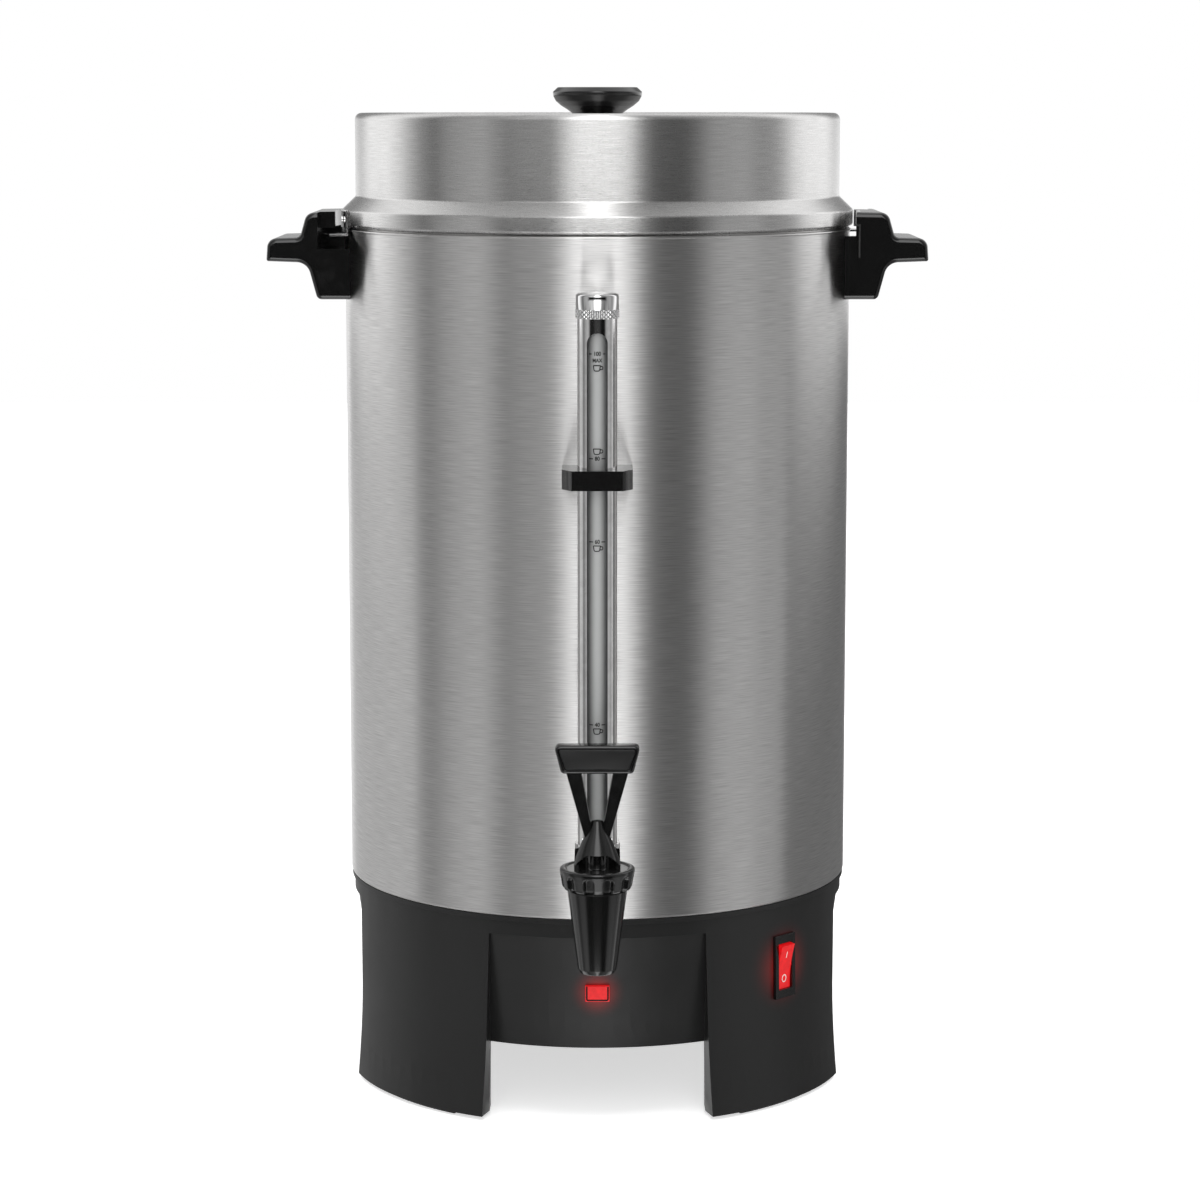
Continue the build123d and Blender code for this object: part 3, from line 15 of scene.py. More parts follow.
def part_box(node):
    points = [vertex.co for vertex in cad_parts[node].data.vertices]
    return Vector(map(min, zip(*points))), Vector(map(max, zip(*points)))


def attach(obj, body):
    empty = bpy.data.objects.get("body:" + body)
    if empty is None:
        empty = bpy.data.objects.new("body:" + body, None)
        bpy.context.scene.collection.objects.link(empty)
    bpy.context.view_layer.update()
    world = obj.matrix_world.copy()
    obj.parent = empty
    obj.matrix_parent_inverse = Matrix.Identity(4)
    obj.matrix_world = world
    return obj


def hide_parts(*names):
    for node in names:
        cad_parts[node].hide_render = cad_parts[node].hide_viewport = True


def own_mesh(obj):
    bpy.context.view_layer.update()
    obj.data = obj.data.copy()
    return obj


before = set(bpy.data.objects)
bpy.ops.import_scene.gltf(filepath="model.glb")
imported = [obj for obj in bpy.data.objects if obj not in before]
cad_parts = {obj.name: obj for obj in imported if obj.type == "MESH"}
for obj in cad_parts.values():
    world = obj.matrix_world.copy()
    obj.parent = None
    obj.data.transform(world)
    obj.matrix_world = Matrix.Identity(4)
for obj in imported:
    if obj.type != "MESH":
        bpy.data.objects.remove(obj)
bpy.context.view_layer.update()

MM = 0.001
log = logging.getLogger("coffee_urn")

Point = tuple[float, float]
Place = tuple[float, float, float]
Colour = tuple[float, float, float]
Piece = bpy.types.Object
Socket = bpy.types.NodeSocket
Value = float | Socket


# ------------------------------------------------------------------ shader nodes


class Nodes:
    """Adds and joins shader nodes in one node tree."""

    def __init__(self, tree: bpy.types.NodeTree) -> None:
        """Wrap a material's, world's or group's node tree."""
        self.tree = tree

    def add(self, kind: str, values: dict | None = None, **settings) -> bpy.types.Node:
        """Add a node.

        Args:
            kind: node type without its ShaderNode prefix.
            values: input socket name or index to a value or an output socket.
            settings: attributes to set on the node.

        Returns:
            The new node.
        """
        node = self.tree.nodes.new("ShaderNode" + kind)
        for key, value in settings.items():
            setattr(node, key, value)
        for key, value in (values or {}).items():
            if isinstance(value, Socket):
                self.tree.links.new(value, node.inputs[key])
            else:
                node.inputs[key].default_value = value
        return node

    def math(self, operation: str, *values: Value, clamp: bool = False) -> Socket:
        """Add a Math node.

        Args:
            operation: the Math node's operation.
            values: numbers or output sockets, in input order.
            clamp: whether the result is kept between 0 and 1.

        Returns:
            The node's output socket.
        """
        node = self.add("Math", dict(enumerate(values)), operation=operation, use_clamp=clamp)
        return node.outputs[0]

    def product(self, *values: Value) -> Socket:
        """Multiply values in turn.

        Args:
            values: two or more numbers or output sockets.

        Returns:
            The product's socket.
        """
        total = values[0]
        for value in values[1:]:
            total = self.math("MULTIPLY", total, value)
        return total

    def remap(self, value: Socket, start: Point = (0.0, 1.0), end: Point = (0.0, 1.0)) -> Socket:
        """Carry one range of values over to another, and stop at its ends.

        Args:
            value: the driving socket.
            start: the range that comes in.
            end: the range that goes out.

        Returns:
            The carried value's socket.
        """
        return self.add("MapRange", dict(enumerate((value, *start, *end)))).outputs[0]

    def ramp(self, factor: Socket, stops: Sequence[Point]) -> Socket:
        """Grey ramp through (position, value) stops.

        Args:
            factor: socket that drives the ramp.
            stops: positions from 0 to 1 with their values.

        Returns:
            The ramp's colour output.
        """
        node = self.add("ValToRGB", {0: factor})
        elements = node.color_ramp.elements
        for index, (position, value) in enumerate(stops):
            element = elements[index] if index < 2 else elements.new(position)
            element.position = position
            element.color = (value, value, value, 1.0)
        return node.outputs["Color"]

    def mix(self, factor: Value, first: Colour | Socket, second: Colour | Socket) -> Socket:
        """Mix two colours.

        Args:
            factor: number or socket.
            first: colour or socket shown at 0.
            second: colour or socket shown at 1.

        Returns:
            The mixed colour's socket.
        """
        node = self.add("Mix", {0: factor}, data_type="RGBA")
        for socket, value in ((node.inputs[6], first), (node.inputs[7], second)):
            if isinstance(value, Socket):
                self.tree.links.new(value, socket)
            else:
                socket.default_value = (*value, 1.0)
        return node.outputs[2]


class Effect(Enum):
    """Shared surface effects, each one a node group."""

    BRUSHING = "turned_brushing"
    CLOUDS = "slow_clouds"
    GRAIN = "fine_grain"
    # Rubbed edges, and painted shade in hollows.
    WEAR_AND_PAINTED_SHADE = "edge_wear_and_painted_shade"
    DUST = "settled_dust"
    HALO = "round_halo"


class Group(Nodes):
    """A shared effect's node group, with its sockets and the place on the piece."""

    def __init__(self, effect: Effect, inputs: dict[str, float | Place], *outputs: str) -> None:
        """Make the group and its sockets.

        Args:
            effect: which effect the group holds.
            inputs: input names with their defaults.
            outputs: output names.
        """
        super().__init__(bpy.data.node_groups.new(effect.value, "ShaderNodeTree"))
        for name, default in inputs.items():
            kind = "NodeSocketVector" if isinstance(default, tuple) else "NodeSocketFloat"
            socket = self.tree.interface.new_socket(name, in_out="INPUT", socket_type=kind)
            socket.default_value = default
        for name in outputs:
            self.tree.interface.new_socket(name, in_out="OUTPUT", socket_type="NodeSocketFloat")
        self.given = self.tree.nodes.new("NodeGroupInput").outputs
        self.results = self.tree.nodes.new("NodeGroupOutput").inputs
        self.place = self.add("TexCoord").outputs["Object"]

    def noise(self, scale: Value, detail: float, place: Socket | None = None) -> Socket:
        """Add a noise texture.

        Args:
            scale: its scale.
            detail: its detail.
            place: where it is read, or None for the place on the piece.

        Returns:
            The noise's value from 0 to 1.
        """
        values = {"Vector": place or self.place, "Scale": scale, "Detail": detail}
        return self.add("TexNoise", values).outputs[0]

    def give(self, **sockets: Socket) -> bpy.types.NodeTree:
        """Link the group's outputs.

        Args:
            sockets: output name to the socket that it gives out.

        Returns:
            The finished group.
        """
        for name, socket in sockets.items():
            self.tree.links.new(socket, self.results[name])
        return self.tree


def build_brushing() -> bpy.types.NodeTree:
    """Streaks that run round the upright axis, as on metal brushed on a lathe.

    Returns:
        Group with Lines (per metre), Length (metres) -> Streak, Fine.
    """
    mean_radius = 0.13
    g = Group(Effect.BRUSHING, {"Lines": 2600.0, "Length": 0.03}, "Streak", "Fine")
    axes = g.add("SeparateXYZ", {0: g.place}).outputs
    angle = g.math("ARCTAN2", axes[0], g.math("MULTIPLY", axes[1], -1.0))
    flat = g.add("CombineXYZ", {0: axes[0], 1: axes[1]}).outputs[0]
    radius = g.add("VectorMath", {0: flat}, operation="LENGTH").outputs["Value"]
    along = g.math("DIVIDE", g.math("MULTIPLY", angle, mean_radius), g.given["Length"])
    across = g.math("MULTIPLY", g.math("SUBTRACT", axes[2], radius), g.given["Lines"])
    spot = g.add("CombineXYZ", {0: along, 1: across}).outputs[0]
    close = g.add("VectorMath", {0: spot, 1: (3.1, 2.7, 1.0)}, operation="MULTIPLY").outputs[0]
    return g.give(Streak=g.noise(1.0, 3.0, spot), Fine=g.noise(1.0, 1.0, close))


def build_clouds() -> bpy.types.NodeTree:
    """Slow, soft variation from place to place.

    Returns:
        Group with Scale -> Cloud.
    """
    g = Group(Effect.CLOUDS, {"Scale": 18.0}, "Cloud")
    return g.give(Cloud=g.noise(g.given["Scale"], 2.0))


def build_grain() -> bpy.types.NodeTree:
    """Fine moulded or cast grain.

    Returns:
        Group with Scale -> Grain.
    """
    g = Group(Effect.GRAIN, {"Scale": 1500.0}, "Grain")
    scale = g.given["Scale"]
    cells = g.add("TexVoronoi", {"Vector": g.place, "Scale": scale}, feature="SMOOTH_F1")
    return g.give(Grain=g.math("ADD", cells.outputs["Distance"], g.noise(scale, 2.0)))


def build_wear_and_painted_shade() -> bpy.types.NodeTree:
    """Masks of rubbed outer edges, broken up by noise, and of painted shade that darkens hollows.

    Returns:
        Group with Amount -> Mask, Hollow; Hollow marks where painted shade darkens hollows.
    """
    g = Group(Effect.WEAR_AND_PAINTED_SHADE, {"Amount": 0.5}, "Mask", "Hollow")
    pointed = g.add("NewGeometry").outputs["Pointiness"]
    edge = g.remap(pointed, (0.52, 0.62))
    broken = g.remap(g.noise(220.0, 3.0), (0.42, 0.62))
    mask = g.product(edge, broken, g.given["Amount"])
    # Hollow is painted shade: concave places are darkened as if shade fell in them.
    return g.give(Mask=mask, Hollow=g.remap(pointed, (0.49, 0.40)))


def build_dust() -> bpy.types.NodeTree:
    """Mask of faint dust on faces that look up.

    Returns:
        Group with Amount -> Mask.
    """
    g = Group(Effect.DUST, {"Amount": 0.1}, "Mask")
    up = g.add("SeparateXYZ", {0: g.add("NewGeometry").outputs["Normal"]}).outputs[2]
    lying = g.remap(up, (0.55, 1.0))
    thick = g.remap(g.noise(900.0, 2.0), (0.5, 0.75))
    return g.give(Mask=g.product(lying, thick, g.given["Amount"]))


def build_halo() -> bpy.types.NodeTree:
    """Soft round spill of light round a lit window.

    Returns:
        Group with Centre, Reach (metres) -> Glow.
    """
    g = Group(Effect.HALO, {"Centre": (0.0, 0.0, 0.0), "Reach": 0.02}, "Glow")
    ends = {0: g.place, 1: g.given["Centre"]}
    apart = g.add("VectorMath", ends, operation="DISTANCE").outputs["Value"]
    share = g.math("DIVIDE", apart, g.given["Reach"])
    return g.give(Glow=g.math("POWER", g.math("SUBTRACT", 1.0, share, clamp=True), 2.6))


BUILDERS = {
    Effect.BRUSHING: build_brushing,
    Effect.CLOUDS: build_clouds,
    Effect.GRAIN: build_grain,
    Effect.WEAR_AND_PAINTED_SHADE: build_wear_and_painted_shade,
    Effect.DUST: build_dust,
    Effect.HALO: build_halo,
}


class Surface(Nodes):
    """One material: its Principled shader and the effects that feed it."""

    def __init__(self, name: str) -> None:
        """Start a material of the given name."""
        self.material = bpy.data.materials.new(name)
        self.material.use_nodes = True
        super().__init__(self.material.node_tree)
        self.shader = self.tree.nodes["Principled BSDF"]

    def effect(self, effect: Effect, **values: float | Place) -> bpy.types.bpy_prop_collection:
        """Add a shared effect group.

        Args:
            effect: which effect.
            values: input values by socket name.

        Returns:
            The group node's outputs.
        """
        node = self.tree.nodes.new("ShaderNodeGroup")
        node.node_tree = bpy.data.node_groups.get(effect.value) or BUILDERS[effect]()
        for key, value in values.items():
            node.inputs[key].default_value = value
        return node.outputs

    def feed(self, **sockets: Value | tuple) -> None:
        """Link or set the shader's inputs.

        Args:
            sockets: input name with underscores for spaces, to a value or output socket.
        """
        for key, value in sockets.items():
            target = self.shader.inputs[key.replace("_", " ")]
            if isinstance(value, Socket):
                self.tree.links.new(value, target)
            else:
                target.default_value = value

    def bump(self, height: Socket, strength: float, distance: float) -> None:
        """Feed a height into the shader's normal.

        Args:
            height: the height's socket.
            strength: from 0 to 1.
            distance: height of a full step, in metres.
        """
        values = {"Height": height, "Strength": strength, "Distance": distance}
        self.feed(Normal=self.add("Bump", values).outputs[0])


# ------------------------------------------------------------------ finishes


def tinted(colour: Colour, share: float, lift: float = 0.0) -> Colour:
    """Darker or brighter tone of a colour.

    Args:
        colour: the colour.
        share: what each channel is multiplied by.
        lift: what is added to each channel.

    Returns:
        The tone, with no channel past 1.
    """
    return tuple(min(1.0, channel * share + lift) for channel in colour)


class Finish:
    """A finish, shown by one material."""

    def surface(self) -> Surface:
        """Shader graph of the finish, which each kind of finish builds."""
        raise NotImplementedError

    def material(self) -> bpy.types.Material:
        """The finished material."""
        return self.surface().material


@dataclass(frozen=True)
class BrushedSteel(Finish):
    """Sheet steel brushed round the upright axis."""

    name: str
    light: Colour
    dark: Colour
    roughness: float
    anisotropy: float = 1.0
    lines: float = 3000.0
    streak: float = 0.014
    contrast: Point = (-0.7, 1.7)
    cloud_share: float = 0.2
    dust: Colour = (0.55, 0.54, 0.52)

    def surface(self) -> Surface:
        """Build the shader graph.

        Returns:
            The surface.
        """
        s = Surface(self.name)
        brushing = s.effect(Effect.BRUSHING, Lines=self.lines, Length=self.streak)
        cloud = s.math("MULTIPLY", s.effect(Effect.CLOUDS, Scale=14.0)["Cloud"], self.cloud_share)
        streak = s.remap(brushing["Streak"], end=self.contrast)
        tone = s.math("MULTIPLY", streak, 1.0 - self.cloud_share)
        steel = s.mix(s.math("ADD", tone, cloud), self.dark, self.light)
        colour = s.mix(s.effect(Effect.DUST, Amount=0.03)["Mask"], steel, self.dust)
        rough = s.remap(brushing["Fine"], end=(self.roughness * 0.7, self.roughness * 1.3))
        s.feed(Base_Color=colour, Metallic=1.0, Roughness=rough)
        s.feed(Anisotropic=self.anisotropy, Anisotropic_Rotation=0.25)
        s.feed(Tangent=s.add("Tangent", direction_type="RADIAL", axis="Z").outputs[0])
        s.bump(brushing["Fine"], 0.1, 0.00002)
        return s


@dataclass(frozen=True)
class PlainMetal(Finish):
    """Polished, plated, cast or machined metal, with painted shade in its hollows."""

    name: str
    colour: Colour
    roughness: float
    grain_scale: float = 700.0
    grain: float = 0.05

    def surface(self) -> Surface:
        """Build the shader graph.

        Returns:
            The surface.
        """
        s = Surface(self.name)
        cloud = s.effect(Effect.CLOUDS, Scale=60.0)["Cloud"]
        wear_and_painted_shade = s.effect(Effect.WEAR_AND_PAINTED_SHADE, Amount=0.5)
        plain = s.mix(cloud, tinted(self.colour, 0.82), self.colour)
        rubbed = s.mix(wear_and_painted_shade["Mask"], plain, tinted(self.colour, 1.2))
        # Painted shade: hollows are darkened to 12 % of the colour.
        colour = s.mix(wear_and_painted_shade["Hollow"], rubbed, tinted(self.colour, 0.12))
        rough = s.remap(cloud, end=(self.roughness * 0.75, self.roughness * 1.35))
        s.feed(Base_Color=colour, Metallic=1.0, Roughness=rough)
        s.bump(s.effect(Effect.GRAIN, Scale=self.grain_scale)["Grain"], self.grain, 0.00005)
        return s


@dataclass(frozen=True)
class MouldedPlastic(Finish):
    """Black moulded plastic, satin or glossy."""

    name: str
    colour: Colour
    roughness: float
    coat: float
    coat_roughness: float
    grain_scale: float
    grain: float
    dust: Colour = (0.25, 0.24, 0.23)

    def surface(self) -> Surface:
        """Build the shader graph.

        Returns:
            The surface.
        """
        s = Surface(self.name)
        cloud = s.effect(Effect.CLOUDS, Scale=35.0)["Cloud"]
        worn = s.effect(Effect.WEAR_AND_PAINTED_SHADE, Amount=0.25)["Mask"]
        plain = s.mix(cloud, tinted(self.colour, 0.8), self.colour)
        rubbed = s.mix(worn, plain, tinted(self.colour, 1.8, 0.01))
        colour = s.mix(s.effect(Effect.DUST, Amount=0.05)["Mask"], rubbed, self.dust)
        rough = s.remap(cloud, end=(self.roughness * 0.85, self.roughness * 1.2))
        s.feed(Base_Color=colour, Roughness=rough)
        s.feed(Coat_Weight=self.coat, Coat_Roughness=self.coat_roughness)
        s.bump(s.effect(Effect.GRAIN, Scale=self.grain_scale)["Grain"], self.grain, 0.00008)
        return s


@dataclass(frozen=True)
class Halo:
    """Where a lit window throws red light on the plastic round it."""

    centre: Place
    reach: float
    strength: float


@dataclass(frozen=True)
class HaloedPlastic(Finish):
    """Moulded plastic with the spill of its lit windows."""

    plastic: MouldedPlastic
    halos: tuple[Halo, ...]
    light: Colour = (1.0, 0.02, 0.015)

    def surface(self) -> Surface:
        """Build the shader graph.

        Returns:
            The surface.
        """
        s = self.plastic.surface()
        total = 0.0
        for halo in self.halos:
            glow = s.effect(Effect.HALO, Centre=halo.centre, Reach=halo.reach)["Glow"]
            total = s.math("ADD", s.math("MULTIPLY", glow, halo.strength), total)
        s.feed(Emission_Color=s.mix(total, (0.0, 0.0, 0.0), self.light), Emission_Strength=1.0)
        return s


@dataclass(frozen=True)
class ClearGlass(Finish):
    """Clear glass or clear plastic with faint streaks, and painted shade that darkens it towards
    its outline as the camera sees it.
    """

    name: str
    tint: Colour
    roughness: float
    # Colour of the painted shade at the glass's outline.
    edge: Colour = (0.05, 0.052, 0.052)
    shade: tuple[Point, ...] = ((0.0, 1.0), (0.06, 0.82), (0.2, 0.5), (0.6, 0.26), (1.0, 0.16))

    def surface(self) -> Surface:
        """Build the shader graph.

        Returns:
            The surface.
        """
        s = Surface(self.name)
        cloud = s.effect(Effect.CLOUDS, Scale=80.0)["Cloud"]
        rough = s.remap(cloud, end=(self.roughness * 0.5, self.roughness * 1.5))
        # Painted shade: the colour darkens where the surface turns away from the camera.
        painted_edge_shade = s.ramp(s.add("LayerWeight", {0: 0.5}).outputs["Facing"], self.shade)
        tone = s.mix(cloud, self.tint, tinted(self.tint, 1.03))
        s.feed(Base_Color=s.mix(painted_edge_shade, self.edge, tone), Roughness=rough)
        s.feed(Transmission_Weight=0.6, IOR=1.2)
        return s


@dataclass(frozen=True)
class LitPlastic(Finish):
    """Translucent plastic with a lamp behind it."""

    name: str
    colour: Colour
    glow: Colour
    strength: float

    def surface(self) -> Surface:
        """Build the shader graph.

        Returns:
            The surface.
        """
        s = Surface(self.name)
        cloud = s.effect(Effect.CLOUDS, Scale=420.0)["Cloud"]
        s.feed(Base_Color=(*self.colour, 1.0), Roughness=0.25)
        s.feed(Coat_Weight=0.25, Coat_Roughness=0.08)
        s.feed(Emission_Color=s.mix(cloud, tinted(self.glow, 0.45), self.glow))
        s.feed(Emission_Strength=self.strength)
        return s


@dataclass(frozen=True)
class SoftRubber(Finish):
    """Matt rubber, silicone, ceramic or print."""

    name: str
    colour: Colour
    roughness: float = 0.7

    def surface(self) -> Surface:
        """Build the shader graph.

        Returns:
            The surface.
        """
        s = Surface(self.name)
        cloud = s.effect(Effect.CLOUDS, Scale=120.0)["Cloud"]
        s.feed(Base_Color=s.mix(cloud, tinted(self.colour, 0.75), self.colour))
        s.feed(Roughness=s.remap(cloud, end=(self.roughness * 0.85, self.roughness * 1.1)))
        s.bump(s.effect(Effect.GRAIN, Scale=1100.0)["Grain"], 0.15, 0.00006)
        return s


class Slot(Enum):
    """Material slots of the record."""

    TANK = "brushed_tank"
    LID = "brushed_lid"
    PLAIN = "plain_steel"
    BRIGHT = "bright_steel"
    ZINC = "zinc_steel"
    GLOSS = "gloss_black"
    SATIN = "satin_black"
    RUBBER = "rubber_black"
    SILICONE = "silicone"
    BRASS = "brass_nickel"
    CHROME = "chrome"
    GLASS = "clear_glass"
    RED = "red_lens"
    HEATER = "cast_heater"
    ALUMINIUM = "aluminium"
    CERAMIC = "white_ceramic"
    WIRE = "wire_red"


SATIN_PLASTIC = MouldedPlastic("satin_black", (0.009, 0.009, 0.009), 0.40, 0.0, 0.3, 1300.0, 0.22)

FINISHES = {
    Slot.TANK: BrushedSteel("brushed_tank", (0.92, 0.913, 0.906), (0.60, 0.594, 0.588), 0.34),
    Slot.LID: BrushedSteel("brushed_lid", (0.765, 0.76, 0.755), (0.55, 0.545, 0.54), 0.28),
    Slot.PLAIN: PlainMetal("plain_steel", (0.62, 0.61, 0.60), 0.3),
    Slot.BRIGHT: PlainMetal("bright_steel", (0.93, 0.925, 0.92), 0.12, grain=0.02),
    Slot.ZINC: PlainMetal("zinc_steel", (0.60, 0.60, 0.56), 0.35, grain_scale=900.0),
    Slot.GLOSS: MouldedPlastic("gloss_black", (0.004, 0.004, 0.004), 0.16, 0.3, 0.05, 500.0, 0.02),
    Slot.SATIN: SATIN_PLASTIC,
    Slot.RUBBER: SoftRubber("rubber_black", (0.02, 0.02, 0.02)),
    Slot.SILICONE: SoftRubber("silicone", (0.55, 0.54, 0.50), 0.45),
    Slot.BRASS: PlainMetal("brass_nickel", (0.70, 0.66, 0.58), 0.25),
    Slot.CHROME: PlainMetal("chrome", (0.86, 0.86, 0.86), 0.07, grain=0.015),
    Slot.GLASS: ClearGlass("clear_glass", (0.74, 0.75, 0.745), 0.04),
    Slot.RED: LitPlastic("red_lens", (0.30, 0.004, 0.005), (1.0, 0.008, 0.012), 0.62),
    Slot.HEATER: PlainMetal("cast_heater", (0.50, 0.50, 0.49), 0.55, grain=0.5),
    Slot.ALUMINIUM: PlainMetal("aluminium", (0.82, 0.82, 0.83), 0.32, grain=0.15),
    Slot.CERAMIC: SoftRubber("white_ceramic", (0.80, 0.78, 0.74), 0.35),
    Slot.WIRE: SoftRubber("wire_red", (0.42, 0.03, 0.02), 0.4),
}


class Finishes:
    """Builds each finish once and dresses objects with it."""

    def __init__(self) -> None:
        """Start with no materials built."""
        self.built: dict[Slot, bpy.types.Material] = {}

    def dress(self, obj: Piece, slot: Slot) -> None:
        """Give an object one finish all over.

        Args:
            obj: a mesh object.
            slot: the finish's slot, built on its first use.
        """
        if slot not in self.built:
            self.built[slot] = FINISHES[slot].material()
        obj.data.materials.clear()
        obj.data.materials.append(self.built[slot])
        log.info("dressed %s in %s", obj.name, slot.value)

    def nodes(self, slot: Slot, *names: str) -> None:
        """Dress CAD nodes that keep their own mesh.

        Args:
            slot: the finish's slot.
            names: CAD node names.
        """
        for name in names:
            self.dress(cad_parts[name], slot)


# ------------------------------------------------------------------ mesh helpers


def link_mesh(name: str, bm: bmesh.types.BMesh, sharp: float = 35.0) -> Piece:
    """Turn a bmesh into a smooth-shaded object with its creases kept.

    Args:
        name: the object's name.
        bm: the mesh, freed afterwards.
        sharp: edges that turn by more than this, in degrees, stay crisp.

    Returns:
        The linked object.
    """
    limit = math.radians(sharp)
    for face in bm.faces:
        face.smooth = True
    for edge in bm.edges:
        edge.smooth = len(edge.link_faces) == 2 and edge.calc_face_angle(0.0) < limit
    mesh = bpy.data.meshes.new(name)
    bm.to_mesh(mesh)
    bm.free()
    obj = bpy.data.objects.new(name, mesh)
    bpy.context.scene.collection.objects.link(obj)
    return obj


def rounded_path(points: Sequence[Point], radii: Sequence[float], steps: int = 7) -> list[Point]:
    """Open path whose inner corners are arcs.

    Args:
        points: corner points.
        radii: one radius for each inner corner, 0 for a crisp one.
        steps: arc divisions.

    Returns:
        The path's points.
    """
    path = [tuple(points[0])]
    for before, corner, after, radius in zip(points, points[1:], points[2:], radii):
        into = (Vector(corner) - Vector(before)).normalized()
        out = (Vector(after) - Vector(corner)).normalized()
        turn = into.angle(out)
        if radius <= 0 or turn < 1e-3:
            path.append(tuple(corner))
            continue
        side = 1.0 if into.x * out.y - into.y * out.x > 0 else -1.0
        start = Vector(corner) - into * radius * math.tan(turn / 2)
        centre = start + Vector((-into.y, into.x)) * side * radius
        for step in range(steps + 1):
            spin = Matrix.Rotation(side * turn * step / steps, 2)
            path.append(tuple(centre + spin @ (start - centre)))
    path.append(tuple(points[-1]))
    return path


def arc_points(centre: Point, radii: Point, steps: int, span: Point = (0.0, 360.0)) -> list[Point]:
    """Points along an arc or an oval.

    Args:
        centre: its centre.
        radii: its radii, across and up.
        steps: how many parts it has.
        span: first and last angle in degrees, turning left from the right-hand side.

    Returns:
        Its points, one more than the steps.
    """
    first, last = span
    points = []
    for step in range(steps + 1):
        angle = math.radians(first + (last - first) * step / steps)
        x, y = radii[0] * math.cos(angle), radii[1] * math.sin(angle)
        points.append((centre[0] + x, centre[1] + y))
    return points


def sheet_outline(path: Sequence[Point], thickness: float) -> list[Point]:
    """Closed outline of sheet metal that follows a centre line.

    Args:
        path: the centre line.
        thickness: the sheet's thickness.

    Returns:
        The outline's points.
    """
    above: list[Point] = []
    below: list[Point] = []
    last = len(path) - 1
    for index, point in enumerate(path):
        ahead = Vector(path[min(index + 1, last)]) - Vector(path[max(index - 1, 0)])
        side = Vector((-ahead.y, ahead.x)).normalized() * thickness / 2
        above.append(tuple(Vector(point) + side))
        below.append(tuple(Vector(point) - side))
    return above + below[::-1]


def revolve(
    name: str,
    outline: Sequence[Point],
    centre: Point = (0.0, 0.0),
    segments: int = 180,
    closed: bool = True,
    sharp: float = 35.0,
) -> Piece:
    """Turn an outline round an upright axis.

    Args:
        name: the object's name.
        outline: (radius, height) points in millimetres.
        centre: the axis's place in millimetres.
        segments: divisions round the axis.
        closed: whether the outline's last point joins its first.
        sharp: crease angle in degrees.

    Returns:
        The object.
    """
    bm = bmesh.new()
    rings = []
    for index in range(segments):
        angle = math.tau * index / segments
        ring = []
        for radius, height in outline:
            x = (centre[0] + radius * math.cos(angle)) * MM
            y = (centre[1] + radius * math.sin(angle)) * MM
            ring.append(bm.verts.new((x, y, height * MM)))
        rings.append(ring)
    count = len(outline)
    for index, ring in enumerate(rings):
        following = rings[(index + 1) % segments]
        for low in range(count if closed else count - 1):
            high = (low + 1) % count
            bm.faces.new((ring[low], following[low], following[high], ring[high]))
    bmesh.ops.remove_doubles(bm, verts=bm.verts, dist=1e-7)
    bmesh.ops.dissolve_degenerate(bm, dist=1e-7, edges=bm.edges)
    bmesh.ops.recalc_face_normals(bm, faces=bm.faces)
    return link_mesh(name, bm, sharp)


def interpolate(value: float, stops: Sequence[float], results: Sequence[float]) -> float:
    """Read a table of rising stops, straight between them.

    Args:
        value: where to read it.
        stops: rising stops.
        results: the result at each stop.

    Returns:
        The result at the value.
    """
    for low, high, first, second in zip(stops, stops[1:], results, results[1:]):
        if value <= high:
            return first + (second - first) * max(0.0, value - low) / (high - low)
    return results[-1]


def loft(name: str, rings: Sequence[Sequence[Place]], sharp: float = 35.0) -> Piece:
    """Skin over closed rings of points, with both ends closed.

    Args:
        name: the object's name.
        rings: rings with as many points each, in millimetres.
        sharp: crease angle in degrees.

    Returns:
        The object.
    """
    bm = bmesh.new()
    loops = [[bm.verts.new(Vector(point) * MM) for point in ring] for ring in rings]
    count = len(loops[0])
    for loop, following in zip(loops, loops[1:]):
        for index in range(count):
            after = (index + 1) % count
            bm.faces.new((loop[index], loop[after], following[after], following[index]))
    bm.faces.new(loops[0])
    bm.faces.new(loops[-1][::-1])
    bmesh.ops.remove_doubles(bm, verts=bm.verts, dist=1e-7)
    bmesh.ops.dissolve_degenerate(bm, dist=1e-7, edges=bm.edges)
    bmesh.ops.recalc_face_normals(bm, faces=bm.faces)
    return link_mesh(name, bm, sharp)


def divided(points: Sequence[Point], step: float) -> list[Point]:
    """Add points along a path, so that it can be bent.

    Args:
        points: the path.
        step: the longest piece that is left.

    Returns:
        The path's points.
    """
    path = [points[0]]
    for first, second in zip(points, points[1:]):
        pieces = max(1, math.ceil((Vector(second) - Vector(first)).length / step))
        for index in range(1, pieces + 1):
            path.append(tuple(Vector(first).lerp(Vector(second), index / pieces)))
    return path


def stroke_mesh(strokes: list[list[Point]], width: float) -> Piece:
    """Flat printed lines of one width, across in x and up in z.

    Args:
        strokes: lists of points in millimetres.
        width: the lines' width in millimetres.

    Returns:
        A mesh object.
    """
    bm = bmesh.new()
    for points in strokes:
        outline = sheet_outline(points, width)
        half = len(points)
        above = [bm.verts.new((x * MM, 0.0, z * MM)) for x, z in outline[:half]]
        below = [bm.verts.new((x * MM, 0.0, z * MM)) for x, z in outline[half:][::-1]]
        for index in range(half - 1):
            bm.faces.new((above[index], above[index + 1], below[index + 1], below[index]))
    return link_mesh("print", bm)


